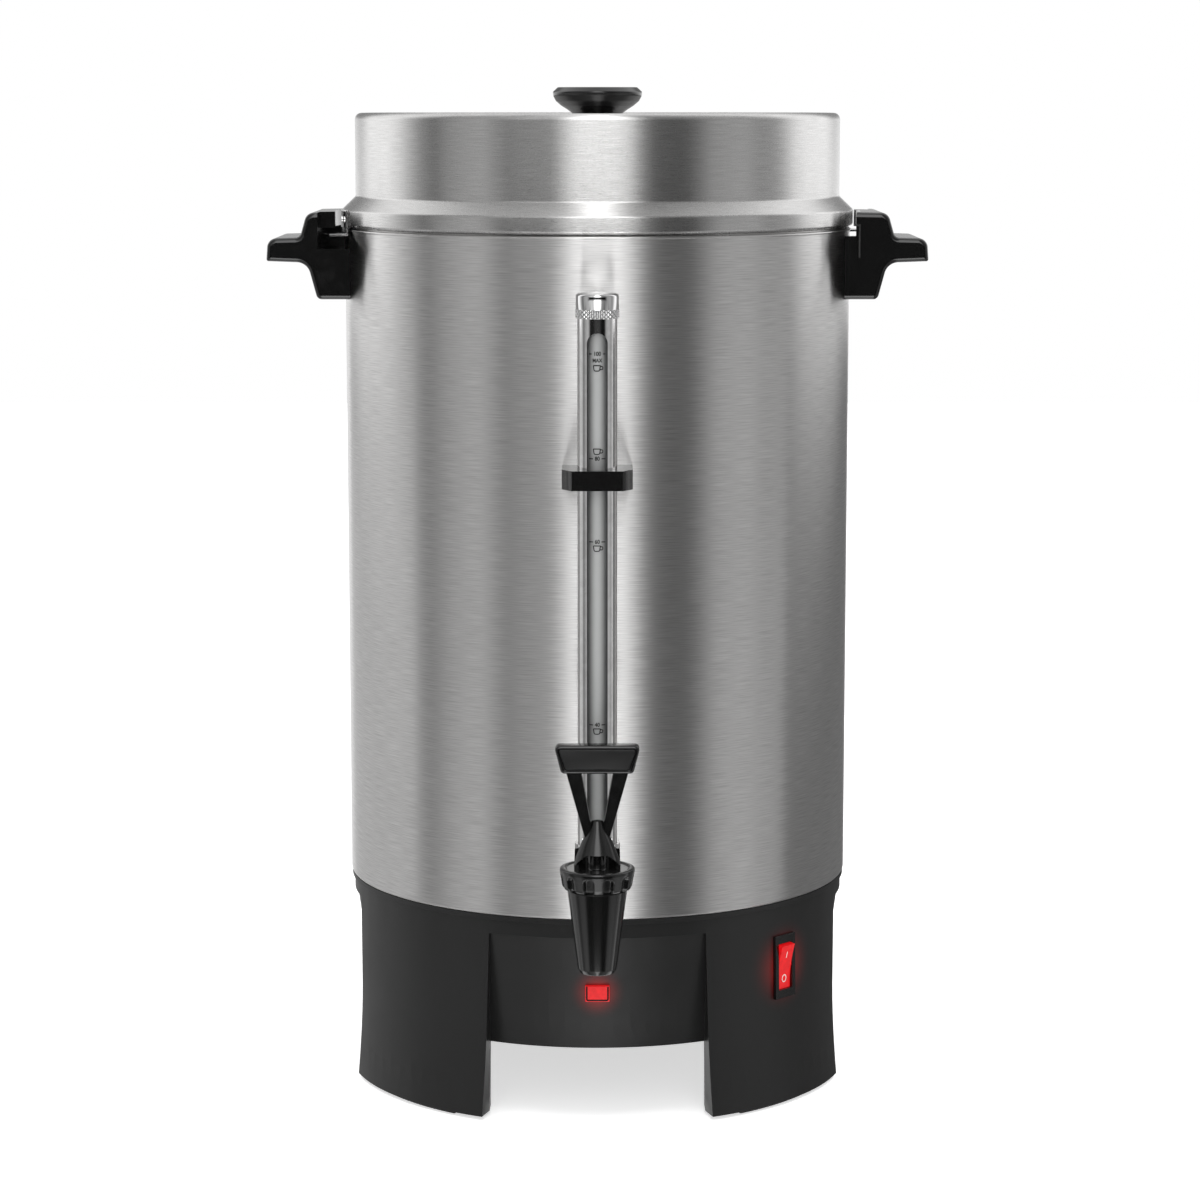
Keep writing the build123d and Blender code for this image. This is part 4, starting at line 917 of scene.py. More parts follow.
def press_on(obj: Piece, node: str, turn: float, lift: float) -> None:
    """Lay a flat printed mesh on a CAD node's outer face.

    Args:
        obj: mesh whose x runs across and whose z is the real height, in metres.
        node: the CAD node that carries it.
        turn: the way that the face looks, in degrees to the right of the front.
        lift: how far it stands off the face, in millimetres.
    """
    angle = math.radians(turn)
    outward = Vector((math.sin(angle), -math.cos(angle), 0.0))
    across = Vector((math.cos(angle), math.sin(angle), 0.0))
    bm = bmesh.new()
    bm.from_mesh(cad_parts[node].data)
    tree = BVHTree.FromBMesh(bm)
    bm.free()
    low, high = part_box(node)
    middle = ((low + high) / 2.0).dot(across)
    for vertex in obj.data.vertices:
        start = outward + across * (middle + vertex.co.x) + Vector((0.0, 0.0, vertex.co.z))
        hit = tree.ray_cast(start, -outward)[0]
        if hit is not None:
            vertex.co = hit + outward * lift * MM


def rounded_copy(node: str, width: float, angle: float = 40.0, segments: int = 3) -> Piece:
    """New piece with a CAD node's form and moulded, rounded edges; it stands for the node.

    Args:
        node: the CAD node.
        width: edge radius in millimetres.
        angle: edges that turn by more than this, in degrees, are rounded.
        segments: divisions across each rounded edge.

    Returns:
        The new object, named after the node.
    """
    bm = bmesh.new()
    bm.from_mesh(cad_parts[node].data)
    bmesh.ops.remove_doubles(bm, verts=bm.verts, dist=2e-6)
    flat = math.radians(0.6)
    bmesh.ops.dissolve_limit(
        bm, angle_limit=flat, verts=bm.verts, edges=bm.edges, delimit={"NORMAL"}
    )
    obj = link_mesh(node + "_moulded", bm, sharp=180.0)
    bevel = obj.modifiers.new("round_edges", "BEVEL")
    bevel.width = width * MM
    bevel.segments = segments
    bevel.limit_method = "ANGLE"
    bevel.angle_limit = math.radians(angle)
    bevel.use_clamp_overlap = True
    bevel.miter_outer = "MITER_ARC"
    normals = obj.modifiers.new("even_normals", "WEIGHTED_NORMAL")
    normals.keep_sharp = False
    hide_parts(node)
    return obj


# ------------------------------------------------------------------ sub-assemblies


@dataclass
class Assembly:
    """A group of pieces dressed from one set of finishes."""

    finishes: Finishes

    def place(self, obj: Piece, slot: Slot, body: str, *replaced: str) -> Piece:
        """Dress a new piece, let it ride on a body and stand for CAD nodes.

        Args:
            obj: the piece.
            slot: its finish.
            body: the body that it moves with.
            replaced: CAD nodes that it stands for.

        Returns:
            The piece.
        """
        self.finishes.dress(obj, slot)
        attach(obj, body)
        if replaced:
            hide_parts(*replaced)
        return obj

    def moulded(self, node: str, width: float, slot: Slot, body: str) -> Piece:
        """Replace a CAD node by the same form with rounded edges.

        Args:
            node: the CAD node.
            width: edge radius in millimetres.
            slot: its finish.
            body: the body that it moves with.

        Returns:
            The piece.
        """
        return self.place(rounded_copy(node, width), slot, body)


@dataclass
class Tank(Assembly):
    """The drawn steel tank and what is fixed through its wall."""

    radius: float = 130.0
    wall: float = 1.0
    bottom: float = 106.0
    rim: float = 440.9
    bead: float = 0.6
    floor: float = 1.2
    corner: float = 1.6

    def build(self) -> None:
        """Make the tank with its rolled bead, and dress its fittings."""
        bead = arc_points((self.radius, self.rim), (self.bead, self.bead), 12, (-80.0, 244.0))
        corners = [(0.0, self.bottom), (self.radius, self.bottom)]
        corners.append((self.radius, self.rim - 2 * self.bead))
        outside = rounded_path(corners, [self.corner])
        inner, floor = self.radius - self.wall, self.bottom + self.floor
        corners = [(inner, self.rim - self.bead), (inner, floor), (0.0, floor)]
        inside = rounded_path(corners, [self.corner])
        shell = revolve("tank_wall", outside + bead + inside, closed=False, segments=240)
        self.place(shell, Slot.TANK, "urn", "tank_shell")
        self.finishes.nodes(Slot.PLAIN, "handle_backing_plates", "base_screws")
        self.finishes.nodes(Slot.ZINC, "handle_screws", "shank_nut")
        self.finishes.nodes(Slot.SILICONE, "shank_washers")


@dataclass
class Lid(Assembly):
    """The drawn lid with its knob, tabs and locating ring."""

    wall: float = 1.0
    radius: float = 124.5
    band_radius: float = 131.5
    bottom: float = 442.2
    top: float = 500.0
    crease: float = 457.5
    shoulder: float = 450.8
    recess: float = 10.0
    rim_width: float = 6.0
    curl: float = 1.6
    screw_hole: float = 2.6
    tab_edge: float = 0.25
    knob_height: float = 23.0
    knob_neck: float = 12.0
    knob_foot: float = 14.0
    knob_foot_height: float = 3.0
    knob_profile: tuple[Point, ...] = (
        (20.4, 0.0), (23.0, 2.4), (22.8, 4.4), (21.4, 7.0), (18.6, 9.4), (15.4, 11.4),
        (13.0, 13.2), (12.0, 16.0),
    )
    knob_rounding: tuple[float, ...] = (0.9, 1.0, 1.5, 3.0, 4.0, 4.0, 3.0, 3.0, 2.0, 0.4)

    def build(self) -> None:
        """Make the lid's shell and knob, and dress its fittings."""
        line = self.radius - self.wall / 2
        band = self.band_radius - self.wall / 2
        panel = self.top - self.recess - self.wall / 2
        path = rounded_path(
            [
                (self.screw_hole, panel),
                (line - self.rim_width - 2.0, panel),
                (line - self.rim_width, self.top - self.wall / 2),
                (line, self.top - self.wall / 2),
                (line, self.crease),
                (band, self.shoulder),
                (band, self.bottom + self.curl),
                (band - self.curl, self.bottom + self.wall / 2),
            ],
            [2.5, 2.4, 2.8, 2.0, 1.2, 1.0],
        )
        shell = revolve("lid_cover", sheet_outline(path, self.wall), segments=240, sharp=50.0)
        self.place(shell, Slot.LID, "lid", "lid_shell")
        self.place(self.knob(), Slot.GLOSS, "lid", "lid_knob")
        self.moulded("lid_tab_left", self.tab_edge, Slot.BRIGHT, "lid")
        self.moulded("lid_tab_right", self.tab_edge, Slot.BRIGHT, "lid")
        self.finishes.nodes(Slot.BRIGHT, "lid_rivets")
        self.finishes.nodes(Slot.ZINC, "lid_knob_screw")
        self.finishes.nodes(Slot.PLAIN, "lid_locating_ring")

    def knob(self) -> Piece:
        """Turned knob with a flat top, a bevelled edge and a bowl above its neck.

        Its profile gives radii with their depth below the top.

        Returns:
            The knob's object.
        """
        foot = self.top - self.recess
        top = foot + self.knob_height
        corners = [(0.0, top)]
        corners += [(radius, top - depth) for radius, depth in self.knob_profile]
        corners += [(self.knob_neck, foot + self.knob_foot_height), (self.knob_foot, foot)]
        corners.append((0.0, foot))
        outline = rounded_path(corners, self.knob_rounding, steps=9)
        return revolve("lid_knob_turned", outline, closed=False, segments=128, sharp=60.0)


@dataclass
class Handles(Assembly):
    """The two side handles and the spring strip in front of the right one."""

    edge: float = 0.5

    def build(self) -> None:
        """Dress the handles and the strip."""
        self.moulded("handle_right", self.edge, Slot.GLOSS, "urn")
        self.moulded("handle_left", self.edge, Slot.GLOSS, "urn")
        self.finishes.nodes(Slot.BRIGHT, "lid_catch_clip")


@dataclass(frozen=True)
class Mark:
    """One level on the gauge's scale."""

    text: str
    height: float
    icon_below: bool
    note: str = ""


@dataclass
class SightGauge(Assembly):
    """The glass tube in its slotted guard, with its marks, cap and clip."""

    centre_y: float = -146.0
    glass_radius: float = 6.0
    cap_radius: float = 10.6
    cap_bottom: float = 403.7
    cap_top: float = 416.3
    cap_step: float = 0.35
    cap_bevel: float = 0.25
    cap_edge: float = 1.2
    crown_inset: float = 3.0
    crown_rise: float = 0.1
    cap_bore: float = 9.55
    cap_roof: float = 411.1
    knurl_height: float = 4.2
    knurls: int = 28
    knurl_rows: int = 2
    knurl_depth: float = 0.7
    knurl_edge: float = 0.2
    clip_edge: float = 0.7
    print_lift: float = 0.12
    print_width: float = 0.5
    tick_reach: float = 4.1
    number_size: float = 2.8
    note_size: float = 2.5
    marks: tuple[Mark, ...] = (
        Mark("100", 387.0, True, "MAX"),
        Mark("80", 337.0, False),
        Mark("60", 297.0, True),
        Mark("40", 208.0, True),
    )

    def build(self) -> None:
        """Make the cap and the marks, and dress the rest."""
        self.place(self.cap(), Slot.CHROME, "urn", "gauge_cap")
        self.finishes.nodes(Slot.CHROME, "gauge_nut")
        self.finishes.nodes(Slot.BRIGHT, "gauge_guard")
        self.finishes.nodes(Slot.GLASS, "gauge_glass")
        self.finishes.nodes(Slot.SILICONE, "gauge_top_seal", "gauge_bottom_seal")
        self.finishes.nodes(Slot.BRASS, "gauge_socket")
        self.finishes.nodes(Slot.ZINC, "gauge_clip_screw")
        self.moulded("gauge_clip", self.clip_edge, Slot.GLOSS, "urn")
        for mark in self.marks:
            self.print_mark(mark)

    def cap(self) -> Piece:
        """Turned cap whose lower band is knurled all round.

        Returns:
            The cap's object.
        """
        waist, lip = self.cap_radius - self.cap_step, self.cap_radius - self.cap_bevel
        knurl_top = self.cap_bottom + self.knurl_height
        outline = [(0.0, self.cap_roof), (self.cap_bore, self.cap_roof)]
        outline += [(self.cap_bore, self.cap_bottom), (lip, self.cap_bottom)]
        rows, tall = 6 * self.knurl_rows, self.knurl_height - 2.0 * self.knurl_edge
        for row in range(rows + 1):
            height = self.cap_bottom + self.knurl_edge + tall * row / rows
            outline.append((self.cap_radius, height))
        corners = [
            (lip, knurl_top),
            (waist, knurl_top + 0.1),
            (waist, self.cap_top - self.cap_edge),
            (waist - self.crown_inset, self.cap_top - self.crown_rise),
            (0.0, self.cap_top),
        ]
        outline += rounded_path(corners, [0.0, 1.6, 1.5], steps=6)
        axis, segments = (0.0, self.centre_y), 12 * self.knurls
        cap = revolve("gauge_cap_turned", outline, axis, segments, closed=False, sharp=50.0)
        self.carve_knurl(cap)
        return cap

    def carve_knurl(self, cap: Piece) -> None:
        """Cut two sets of crossing grooves into the cap's band.

        Args:
            cap: the cap.
        """
        knurl_top = self.cap_bottom + self.knurl_height
        for vertex in cap.data.vertices:
            x, y = vertex.co.x, vertex.co.y - self.centre_y * MM
            height = vertex.co.z / MM
            if math.hypot(x, y) < (self.cap_radius - 0.1) * MM or height > knurl_top - 0.1:
                continue
            turn = self.knurls / 2 * math.atan2(y, x)
            climb = math.pi * self.knurl_rows * (height - self.cap_bottom) / self.knurl_height
            groove = max(abs(math.cos(turn + climb)), abs(math.cos(turn - climb))) ** 3
            scale = 1.0 - self.knurl_depth * groove / self.cap_radius
            vertex.co.x = x * scale
            vertex.co.y = self.centre_y * MM + y * scale

    def on_glass(self, obj: Piece) -> None:
        """Bend a flat printed mesh round the front of the glass.

        Args:
            obj: mesh whose x runs across and whose z runs up, in metres.
        """
        radius = (self.glass_radius + self.print_lift) * MM
        for vertex in obj.data.vertices:
            angle = vertex.co.x / radius
            vertex.co.x = radius * math.sin(angle)
            vertex.co.y = self.centre_y * MM - radius * math.cos(angle)

    def print_mark(self, mark: Mark) -> None:
        """Print one level: its number between two ticks, and a cup.

        Args:
            mark: the level.
        """
        height, reach = mark.height, self.tick_reach
        pieces = [self.text_mesh(mark.text, self.number_size, height)]
        below = height - 3.2
        if mark.note:
            pieces.append(self.text_mesh(mark.note, self.note_size, below))
            below -= 3.6
        half = 0.6 + 0.72 * len(mark.text)
        strokes = [[(-reach, height), (-half, height)], [(half, height), (reach, height)]]
        strokes += self.cup_strokes(below if mark.icon_below else height + 3.4)
        strokes = [divided(points, 0.4) for points in strokes]
        pieces.append(stroke_mesh(strokes, self.print_width))
        for index, obj in enumerate(pieces):
            obj.name = f"gauge_mark_{mark.text}_{index}"
            self.on_glass(obj)
            self.place(obj, Slot.RUBBER, "urn")

    def cup_strokes(self, height: float) -> list[list[Point]]:
        """Outline of a small cup with its handle on the right.

        Args:
            height: the cup's middle.

        Returns:
            Strokes as lists of points, in millimetres.
        """
        bowl = rounded_path(
            [(-1.9, height + 1.3), (-1.5, height - 1.3), (1.1, height - 1.3), (1.5, height + 1.3)],
            [0.8, 0.8],
            steps=3,
        )
        bowl.append((-1.9, height + 1.3))
        grip = rounded_path(
            [(1.5, height + 0.9), (2.9, height + 0.9), (2.6, height - 0.6), (1.3, height - 0.6)],
            [0.6, 0.5],
            steps=3,
        )
        return [bowl, grip]

    def text_mesh(self, text: str, size: float, height: float) -> Piece:
        """Flat printed text in the middle of the scale.

        Args:
            text: what it says.
            size: letter size in millimetres.
            height: its middle, in millimetres.

        Returns:
            A mesh object.
        """
        narrow, boldness = 0.86, 0.09
        curve = bpy.data.curves.new("print", "FONT")
        curve.body = text
        curve.size = size * MM
        curve.align_x = "CENTER"
        curve.align_y = "CENTER"
        curve.offset = boldness * MM
        curve.resolution_u = 3
        source = bpy.data.objects.new("print", curve)
        bpy.context.scene.collection.objects.link(source)
        bpy.context.view_layer.update()
        evaluated = source.evaluated_get(bpy.context.evaluated_depsgraph_get())
        mesh = bpy.data.meshes.new_from_object(evaluated)
        bpy.data.objects.remove(source)
        for vertex in mesh.vertices:
            vertex.co = (narrow * vertex.co.x, 0.0, vertex.co.y + height * MM)
        obj = bpy.data.objects.new("print", mesh)
        bpy.context.scene.collection.objects.link(obj)
        return obj


@dataclass
class Tap(Assembly):
    """The tap with its spout, scalloped bonnet, lever and inner works."""

    centre_y: float = -175.0
    spout_tip: float = 91.6
    spout_tip_radius: float = 9.4
    spout_top_radius: float = 14.4
    spout_bore: float = 5.5
    chamber_radius: float = 9.4
    seat: float = 108.0
    neck_radius: float = 13.2
    neck_top: float = 140.15
    collar_bottom: float = 132.8
    collar_top: float = 143.4
    collar_foot_radius: float = 16.6
    collar_radius: float = 18.0
    flutes: int = 11
    flute_turn: float = 18.5
    flute_depth: float = 2.3
    flute_top: float = 140.6
    boss_radius: float = 4.6
    boss_top: float = 149.6
    stem_hole: float = 2.55
    hood_inner: float = 9.4
    hood_outer: float = 11.3
    hood_top: float = 151.6
    hood_start: float = 108.0
    shank_z: float = 122.0
    shank_radius: float = 8.0
    shank_bore: float = 5.0
    shank_end: float = -115.0
    shoulder_seat: float = -131.9
    shoulder: float = 3.0
    shoulder_radius: float = 13.0
    fit_gap: float = 0.05
    assembly_gap: float = 0.3
    shroud_wall: float = 1.2
    shroud_turn: float = 75.0
    shroud_foot: float = 145.0
    arch_top: float = 150.6
    arch_turn: float = 28.0
    arch_foot_turn: float = 66.0
    shroud_profile: tuple[Point, ...] = (
        (145.0, 11.5), (147.0, 11.2), (149.2, 10.5), (151.4, 9.6), (153.6, 8.7), (155.8, 7.8),
        (158.0, 6.7), (160.6, 5.2), (163.0, 3.8), (164.6, 3.3), (165.8, 3.0), (166.3, 2.2),
        (166.4, 0.0),
    )
    paddle_bottom: float = 189.2
    paddle_top: float = 202.9
    paddle_half_bottom: float = 17.2
    paddle_half_top: float = 20.7
    paddle_corner: float = 2.2
    paddle_edges: tuple[Point, ...] = (
        (1.5, 4.2), (0.7, 4.0), (0.2, 3.5), (0.0, 2.8), (0.0, -2.8), (0.2, -3.5), (0.6, -3.95),
        (1.1, -4.2), (1.6, -4.1), (1.9, -3.7), (2.0, -3.1),
    )
    face_edges: tuple[Point, ...] = ((2.05, -3.2), (2.15, -3.45), (2.5, -3.55))
    arm_foot: float = 153.0
    arm_middle: float = 4.0
    arm_lean: float = 0.2
    arm_profile: tuple[Point, ...] = (
        (1.95, 153.0), (5.2, 153.0), (6.0, 157.9), (15.2, 190.7), (7.7, 190.7), (3.0, 164.6),
        (1.95, 159.6),
    )
    arm_edges: tuple[Point, ...] = (
        (0.9, -3.2), (0.25, -3.0), (0.0, -2.4), (0.0, 2.4), (0.25, 3.0), (0.9, 3.2),
    )
    spring_wire: float = 0.5
    spring_turns: int = 6
    stem_travel: float = 3.2

    def build(self) -> None:
        """Make the moulded pieces and dress the rest."""
        self.place(self.spout(), Slot.GLOSS, "urn", "faucet_body")
        self.place(self.shank(), Slot.GLOSS, "urn")
        self.place(self.bonnet(), Slot.GLOSS, "urn", "faucet_bonnet")
        self.place(self.hood(), Slot.GLOSS, "urn")
        self.place(self.shroud(), Slot.GLOSS, "tap_lever", "faucet_lever")
        self.place(self.arm("left", -1.0), Slot.GLOSS, "tap_lever")
        self.place(self.arm("right", 1.0), Slot.GLOSS, "tap_lever")
        self.place(self.slab("lever_paddle", self.paddle_edges), Slot.GLOSS, "tap_lever")
        self.place(self.slab("lever_paddle_face", self.face_edges), Slot.SATIN, "tap_lever")
        self.place(self.spring(), Slot.BRIGHT, "urn", "faucet_spring")
        self.finishes.nodes(Slot.BRIGHT, "faucet_lever_pin")
        self.finishes.nodes(Slot.PLAIN, "faucet_stem")
        self.finishes.nodes(Slot.SILICONE, "faucet_seat_cup")

    def spout(self) -> Piece:
        """Tapered body with its bore, valve chamber and threaded neck.

        Returns:
            The spout's object.
        """
        tip, top = self.spout_tip, self.collar_bottom - self.assembly_gap
        outline = rounded_path(
            [
                (self.spout_bore, self.seat),
                (self.spout_bore, tip),
                (self.spout_tip_radius - 1.2, tip),
                (self.spout_tip_radius, tip + 2.2),
                (self.spout_top_radius, top),
                (self.neck_radius, top),
                (self.neck_radius, self.neck_top),
                (self.chamber_radius, self.neck_top),
                (self.chamber_radius, self.seat),
            ],
            [0.5, 0.8, 1.4, 0.4, 0.0, 0.4, 0.0],
        )
        return revolve("tap_spout", outline, (0.0, self.centre_y), segments=128, sharp=50.0)

    def shank(self) -> Piece:
        """Hollow shank from the body through the tank's wall, with its shoulder.

        Returns:
            The shank's object.
        """
        seat = self.shoulder_seat - self.centre_y
        end = self.shank_end - self.centre_y
        outline = rounded_path(
            [
                (self.shank_bore, self.chamber_radius),
                (self.shank_radius, self.chamber_radius),
                (self.shank_radius, seat - self.shoulder),
                (self.shoulder_radius, seat - self.shoulder),
                (self.shoulder_radius, seat),
                (self.shank_radius, seat),
                (self.shank_radius, end),
                (self.shank_bore, end),
            ],
            [0.0, 0.5, 0.7, 0.3, 0.2, 0.4],
        )
        obj = revolve("tap_shank", outline, segments=64, sharp=50.0)
        lying = Matrix.Translation((0.0, self.centre_y * MM, self.shank_z * MM))
        obj.data.transform(lying @ Matrix.Rotation(math.radians(-90.0), 4, "X"))
        return obj

    def spring(self) -> Piece:
        """Coil spring that the stem presses together.

        Returns:
            The spring's object.
        """
        low, high = (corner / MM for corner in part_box("faucet_spring"))
        wire = self.spring_wire
        radius, rise = (high.x - low.x) / 2.0 - wire, high.z - low.z - 2.0 * wire
        steps, sides = 36, 10
        count = self.spring_turns * steps
        rings = []
        for step in range(count + 1):
            height = low.z + wire + rise * step / count
            section = arc_points((radius, height), (wire, wire), sides)[:-1]
            rings.append(self.column(math.tau * step / steps, section))
        obj = loft("tap_spring", rings, sharp=60.0)
        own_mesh(obj)
        return obj

    def bonnet(self) -> Piece:
        """Tapered screw collar with scalloped grips, a dished top and the stem's guide.

        Returns:
            The bonnet's object.
        """
        low, top = self.collar_bottom, self.collar_top
        bore, roof = self.neck_radius + self.fit_gap, self.neck_top + 2.0 * self.fit_gap
        rows, tall = 26, top - low - 2.3
        widening = self.collar_radius - self.collar_foot_radius
        side = []
        for row in range(rows + 1):
            share = row / rows
            radius = self.collar_foot_radius + share * widening
            tucked = 0.5 * max(0.0, 1.0 - share * 6.0) ** 2
            side.append((radius - tucked, low + 0.5 + share * tall))
        corners = [
            (self.collar_radius, top - 1.7),
            (self.collar_radius, top - 0.2),
            (self.collar_radius - 2.0, top),
            (self.collar_radius - 3.4, top - 0.7),
            (self.boss_radius, top - 0.9),
            (self.boss_radius, self.boss_top),
            (self.stem_hole, self.boss_top),
            (self.stem_hole, roof),
            (bore, roof),
        ]
        rim = rounded_path(corners, [1.1, 0.8, 0.9, 0.6, 0.5, 0.0, 0.0])
        outline = [(bore, low), (side[0][0] - 1.1, low)] + side + rim
        axis, segments = (0.0, self.centre_y), 30 * self.flutes
        bonnet = revolve("tap_bonnet", outline, axis, segments, sharp=60.0)
        self.carve_flutes(bonnet)
        return bonnet

    def carve_flutes(self, bonnet: Piece) -> None:
        """Press round-topped grips into the collar's side.

        Args:
            bonnet: the bonnet.
        """
        pitch, half, wall, round_height = math.tau / self.flutes, 0.27, 0.25, 1.8
        for vertex in bonnet.data.vertices:
            x, y = vertex.co.x / MM, vertex.co.y / MM - self.centre_y
            radius, height = math.hypot(x, y), vertex.co.z / MM
            if radius < self.neck_radius + 1.0 or height > self.flute_top + 2.0:
                continue
            turn = math.atan2(x, -y) - math.radians(self.flute_turn)
            across = abs((turn / pitch + 0.5) % 1.0 - 0.5) / half
            above = max(0.0, (height - self.flute_top + round_height) / round_height)
            share = min(1.0, max(0.0, (1.0 - math.hypot(across, above)) / wall))
            scale = 1.0 - self.flute_depth * share * share * (3.0 - 2.0 * share) / radius
            vertex.co.x = x * scale * MM
            vertex.co.y = (self.centre_y + y * scale) * MM

    def column(self, turn: float, points: Sequence[Point]) -> list[Place]:
        """Turn a (radius, height) outline to an angle round the tap's axis.

        Args:
            turn: angle from the front, in radians.
            points: the outline, in millimetres.

        Returns:
            Its points in space, in millimetres.
        """
        side, ahead, middle = math.sin(turn), math.cos(turn), self.centre_y
        return [(radius * side, middle - radius * ahead, height) for radius, height in points]

    def hood(self) -> Piece:
        """Low curved wall at the bonnet's back that stops the lever there.

        Returns:
            The wall's object.
        """
        foot = self.collar_top - 1.0
        corners = [
            (self.hood_inner, foot),
            (self.hood_inner, self.hood_top),
            (self.hood_outer, self.hood_top),
            (self.hood_outer + 0.4, foot),
        ]
        outline = rounded_path(corners, [0.5, 0.7], steps=3)
        steps, span = 32, 360.0 - 2.0 * self.hood_start
        turns = [math.radians(self.hood_start + span * step / steps) for step in range(steps + 1)]
        return loft("tap_hood", [self.column(turn, outline) for turn in turns], sharp=50.0)

    def shroud(self) -> Piece:
        """Bell-shaped shell of the lever that covers its pin, arched over the collar.

        Returns:
            The shell's object.
        """
        heights, radii = zip(*self.shroud_profile)
        steps, rows = 60, 26
        rings = []
        for step in range(steps + 1):
            turn = -self.shroud_turn + 2.0 * self.shroud_turn * step / steps
            span = (abs(turn) - self.arch_turn) / (self.arch_foot_turn - self.arch_turn)
            fall = min(1.0, max(0.0, span)) ** 1.3
            foot = self.arch_top + (self.shroud_foot - self.arch_top) * fall
            outer, inner = [], []
            for row in range(rows + 1):
                height = foot + (heights[-1] - foot) * (1.0 - (1.0 - row / rows) ** 1.5)
                outer.append((interpolate(height, heights, radii), height))
                under = min(height + self.shroud_wall, heights[-1])
                hollow = interpolate(under, heights, radii) - self.shroud_wall
                inner.append((max(0.0, hollow), min(height, heights[-1] - self.shroud_wall)))
            rings.append(self.column(math.radians(turn), outer + inner[::-1]))
        return loft("lever_shroud", rings, sharp=50.0)

    def arm(self, name: str, side: float) -> Piece:
        """Straight, tapered arm from the shroud up to the paddle.

        Args:
            name: which arm it is.
            side: -1 for the left one, 1 for the right one.

        Returns:
            The arm's object.
        """
        rings = []
        for inset, depth in self.arm_edges:
            ring = []
            for x, height in self.arm_profile:
                apart = self.arm_middle + (height - self.arm_foot) * self.arm_lean - x
                x += math.copysign(min(abs(apart), inset), apart)
                ring.append((side * x, self.centre_y + depth, height))
            rings.append(ring)
        return loft(f"lever_arm_{name}", rings, sharp=30.0)

    def paddle_ring(self, inset: float, depth: float) -> list[Place]:
        """Rounded outline of the paddle, drawn in from its edge.

        Args:
            inset: how far inside the outer edge, in millimetres.
            depth: how far behind the paddle's middle, in millimetres.

        Returns:
            The outline's points, in millimetres.
        """
        low, high = self.paddle_bottom + inset, self.paddle_top - inset
        bottom, top = self.paddle_half_bottom - inset, self.paddle_half_top - inset
        corners = [(0.0, low), (bottom, low), (top, high), (-top, high), (-bottom, low), (0.0, low)]
        radius = max(0.5, self.paddle_corner - inset * 0.6)
        path = rounded_path(corners, [radius] * 4, steps=6)[:-1]
        return [(x, self.centre_y + depth, height) for x, height in path]

    def slab(self, name: str, edges: Sequence[Point]) -> Piece:
        """Slab in the paddle's outline: the block to press, or the inlay in its sunk face.

        Args:
            name: the object's name.
            edges: its rings' insets, each with its depth behind the paddle's middle.

        Returns:
            The slab's object.
        """
        rings = [self.paddle_ring(inset, depth) for inset, depth in edges]
        return loft(name, rings, sharp=40.0)


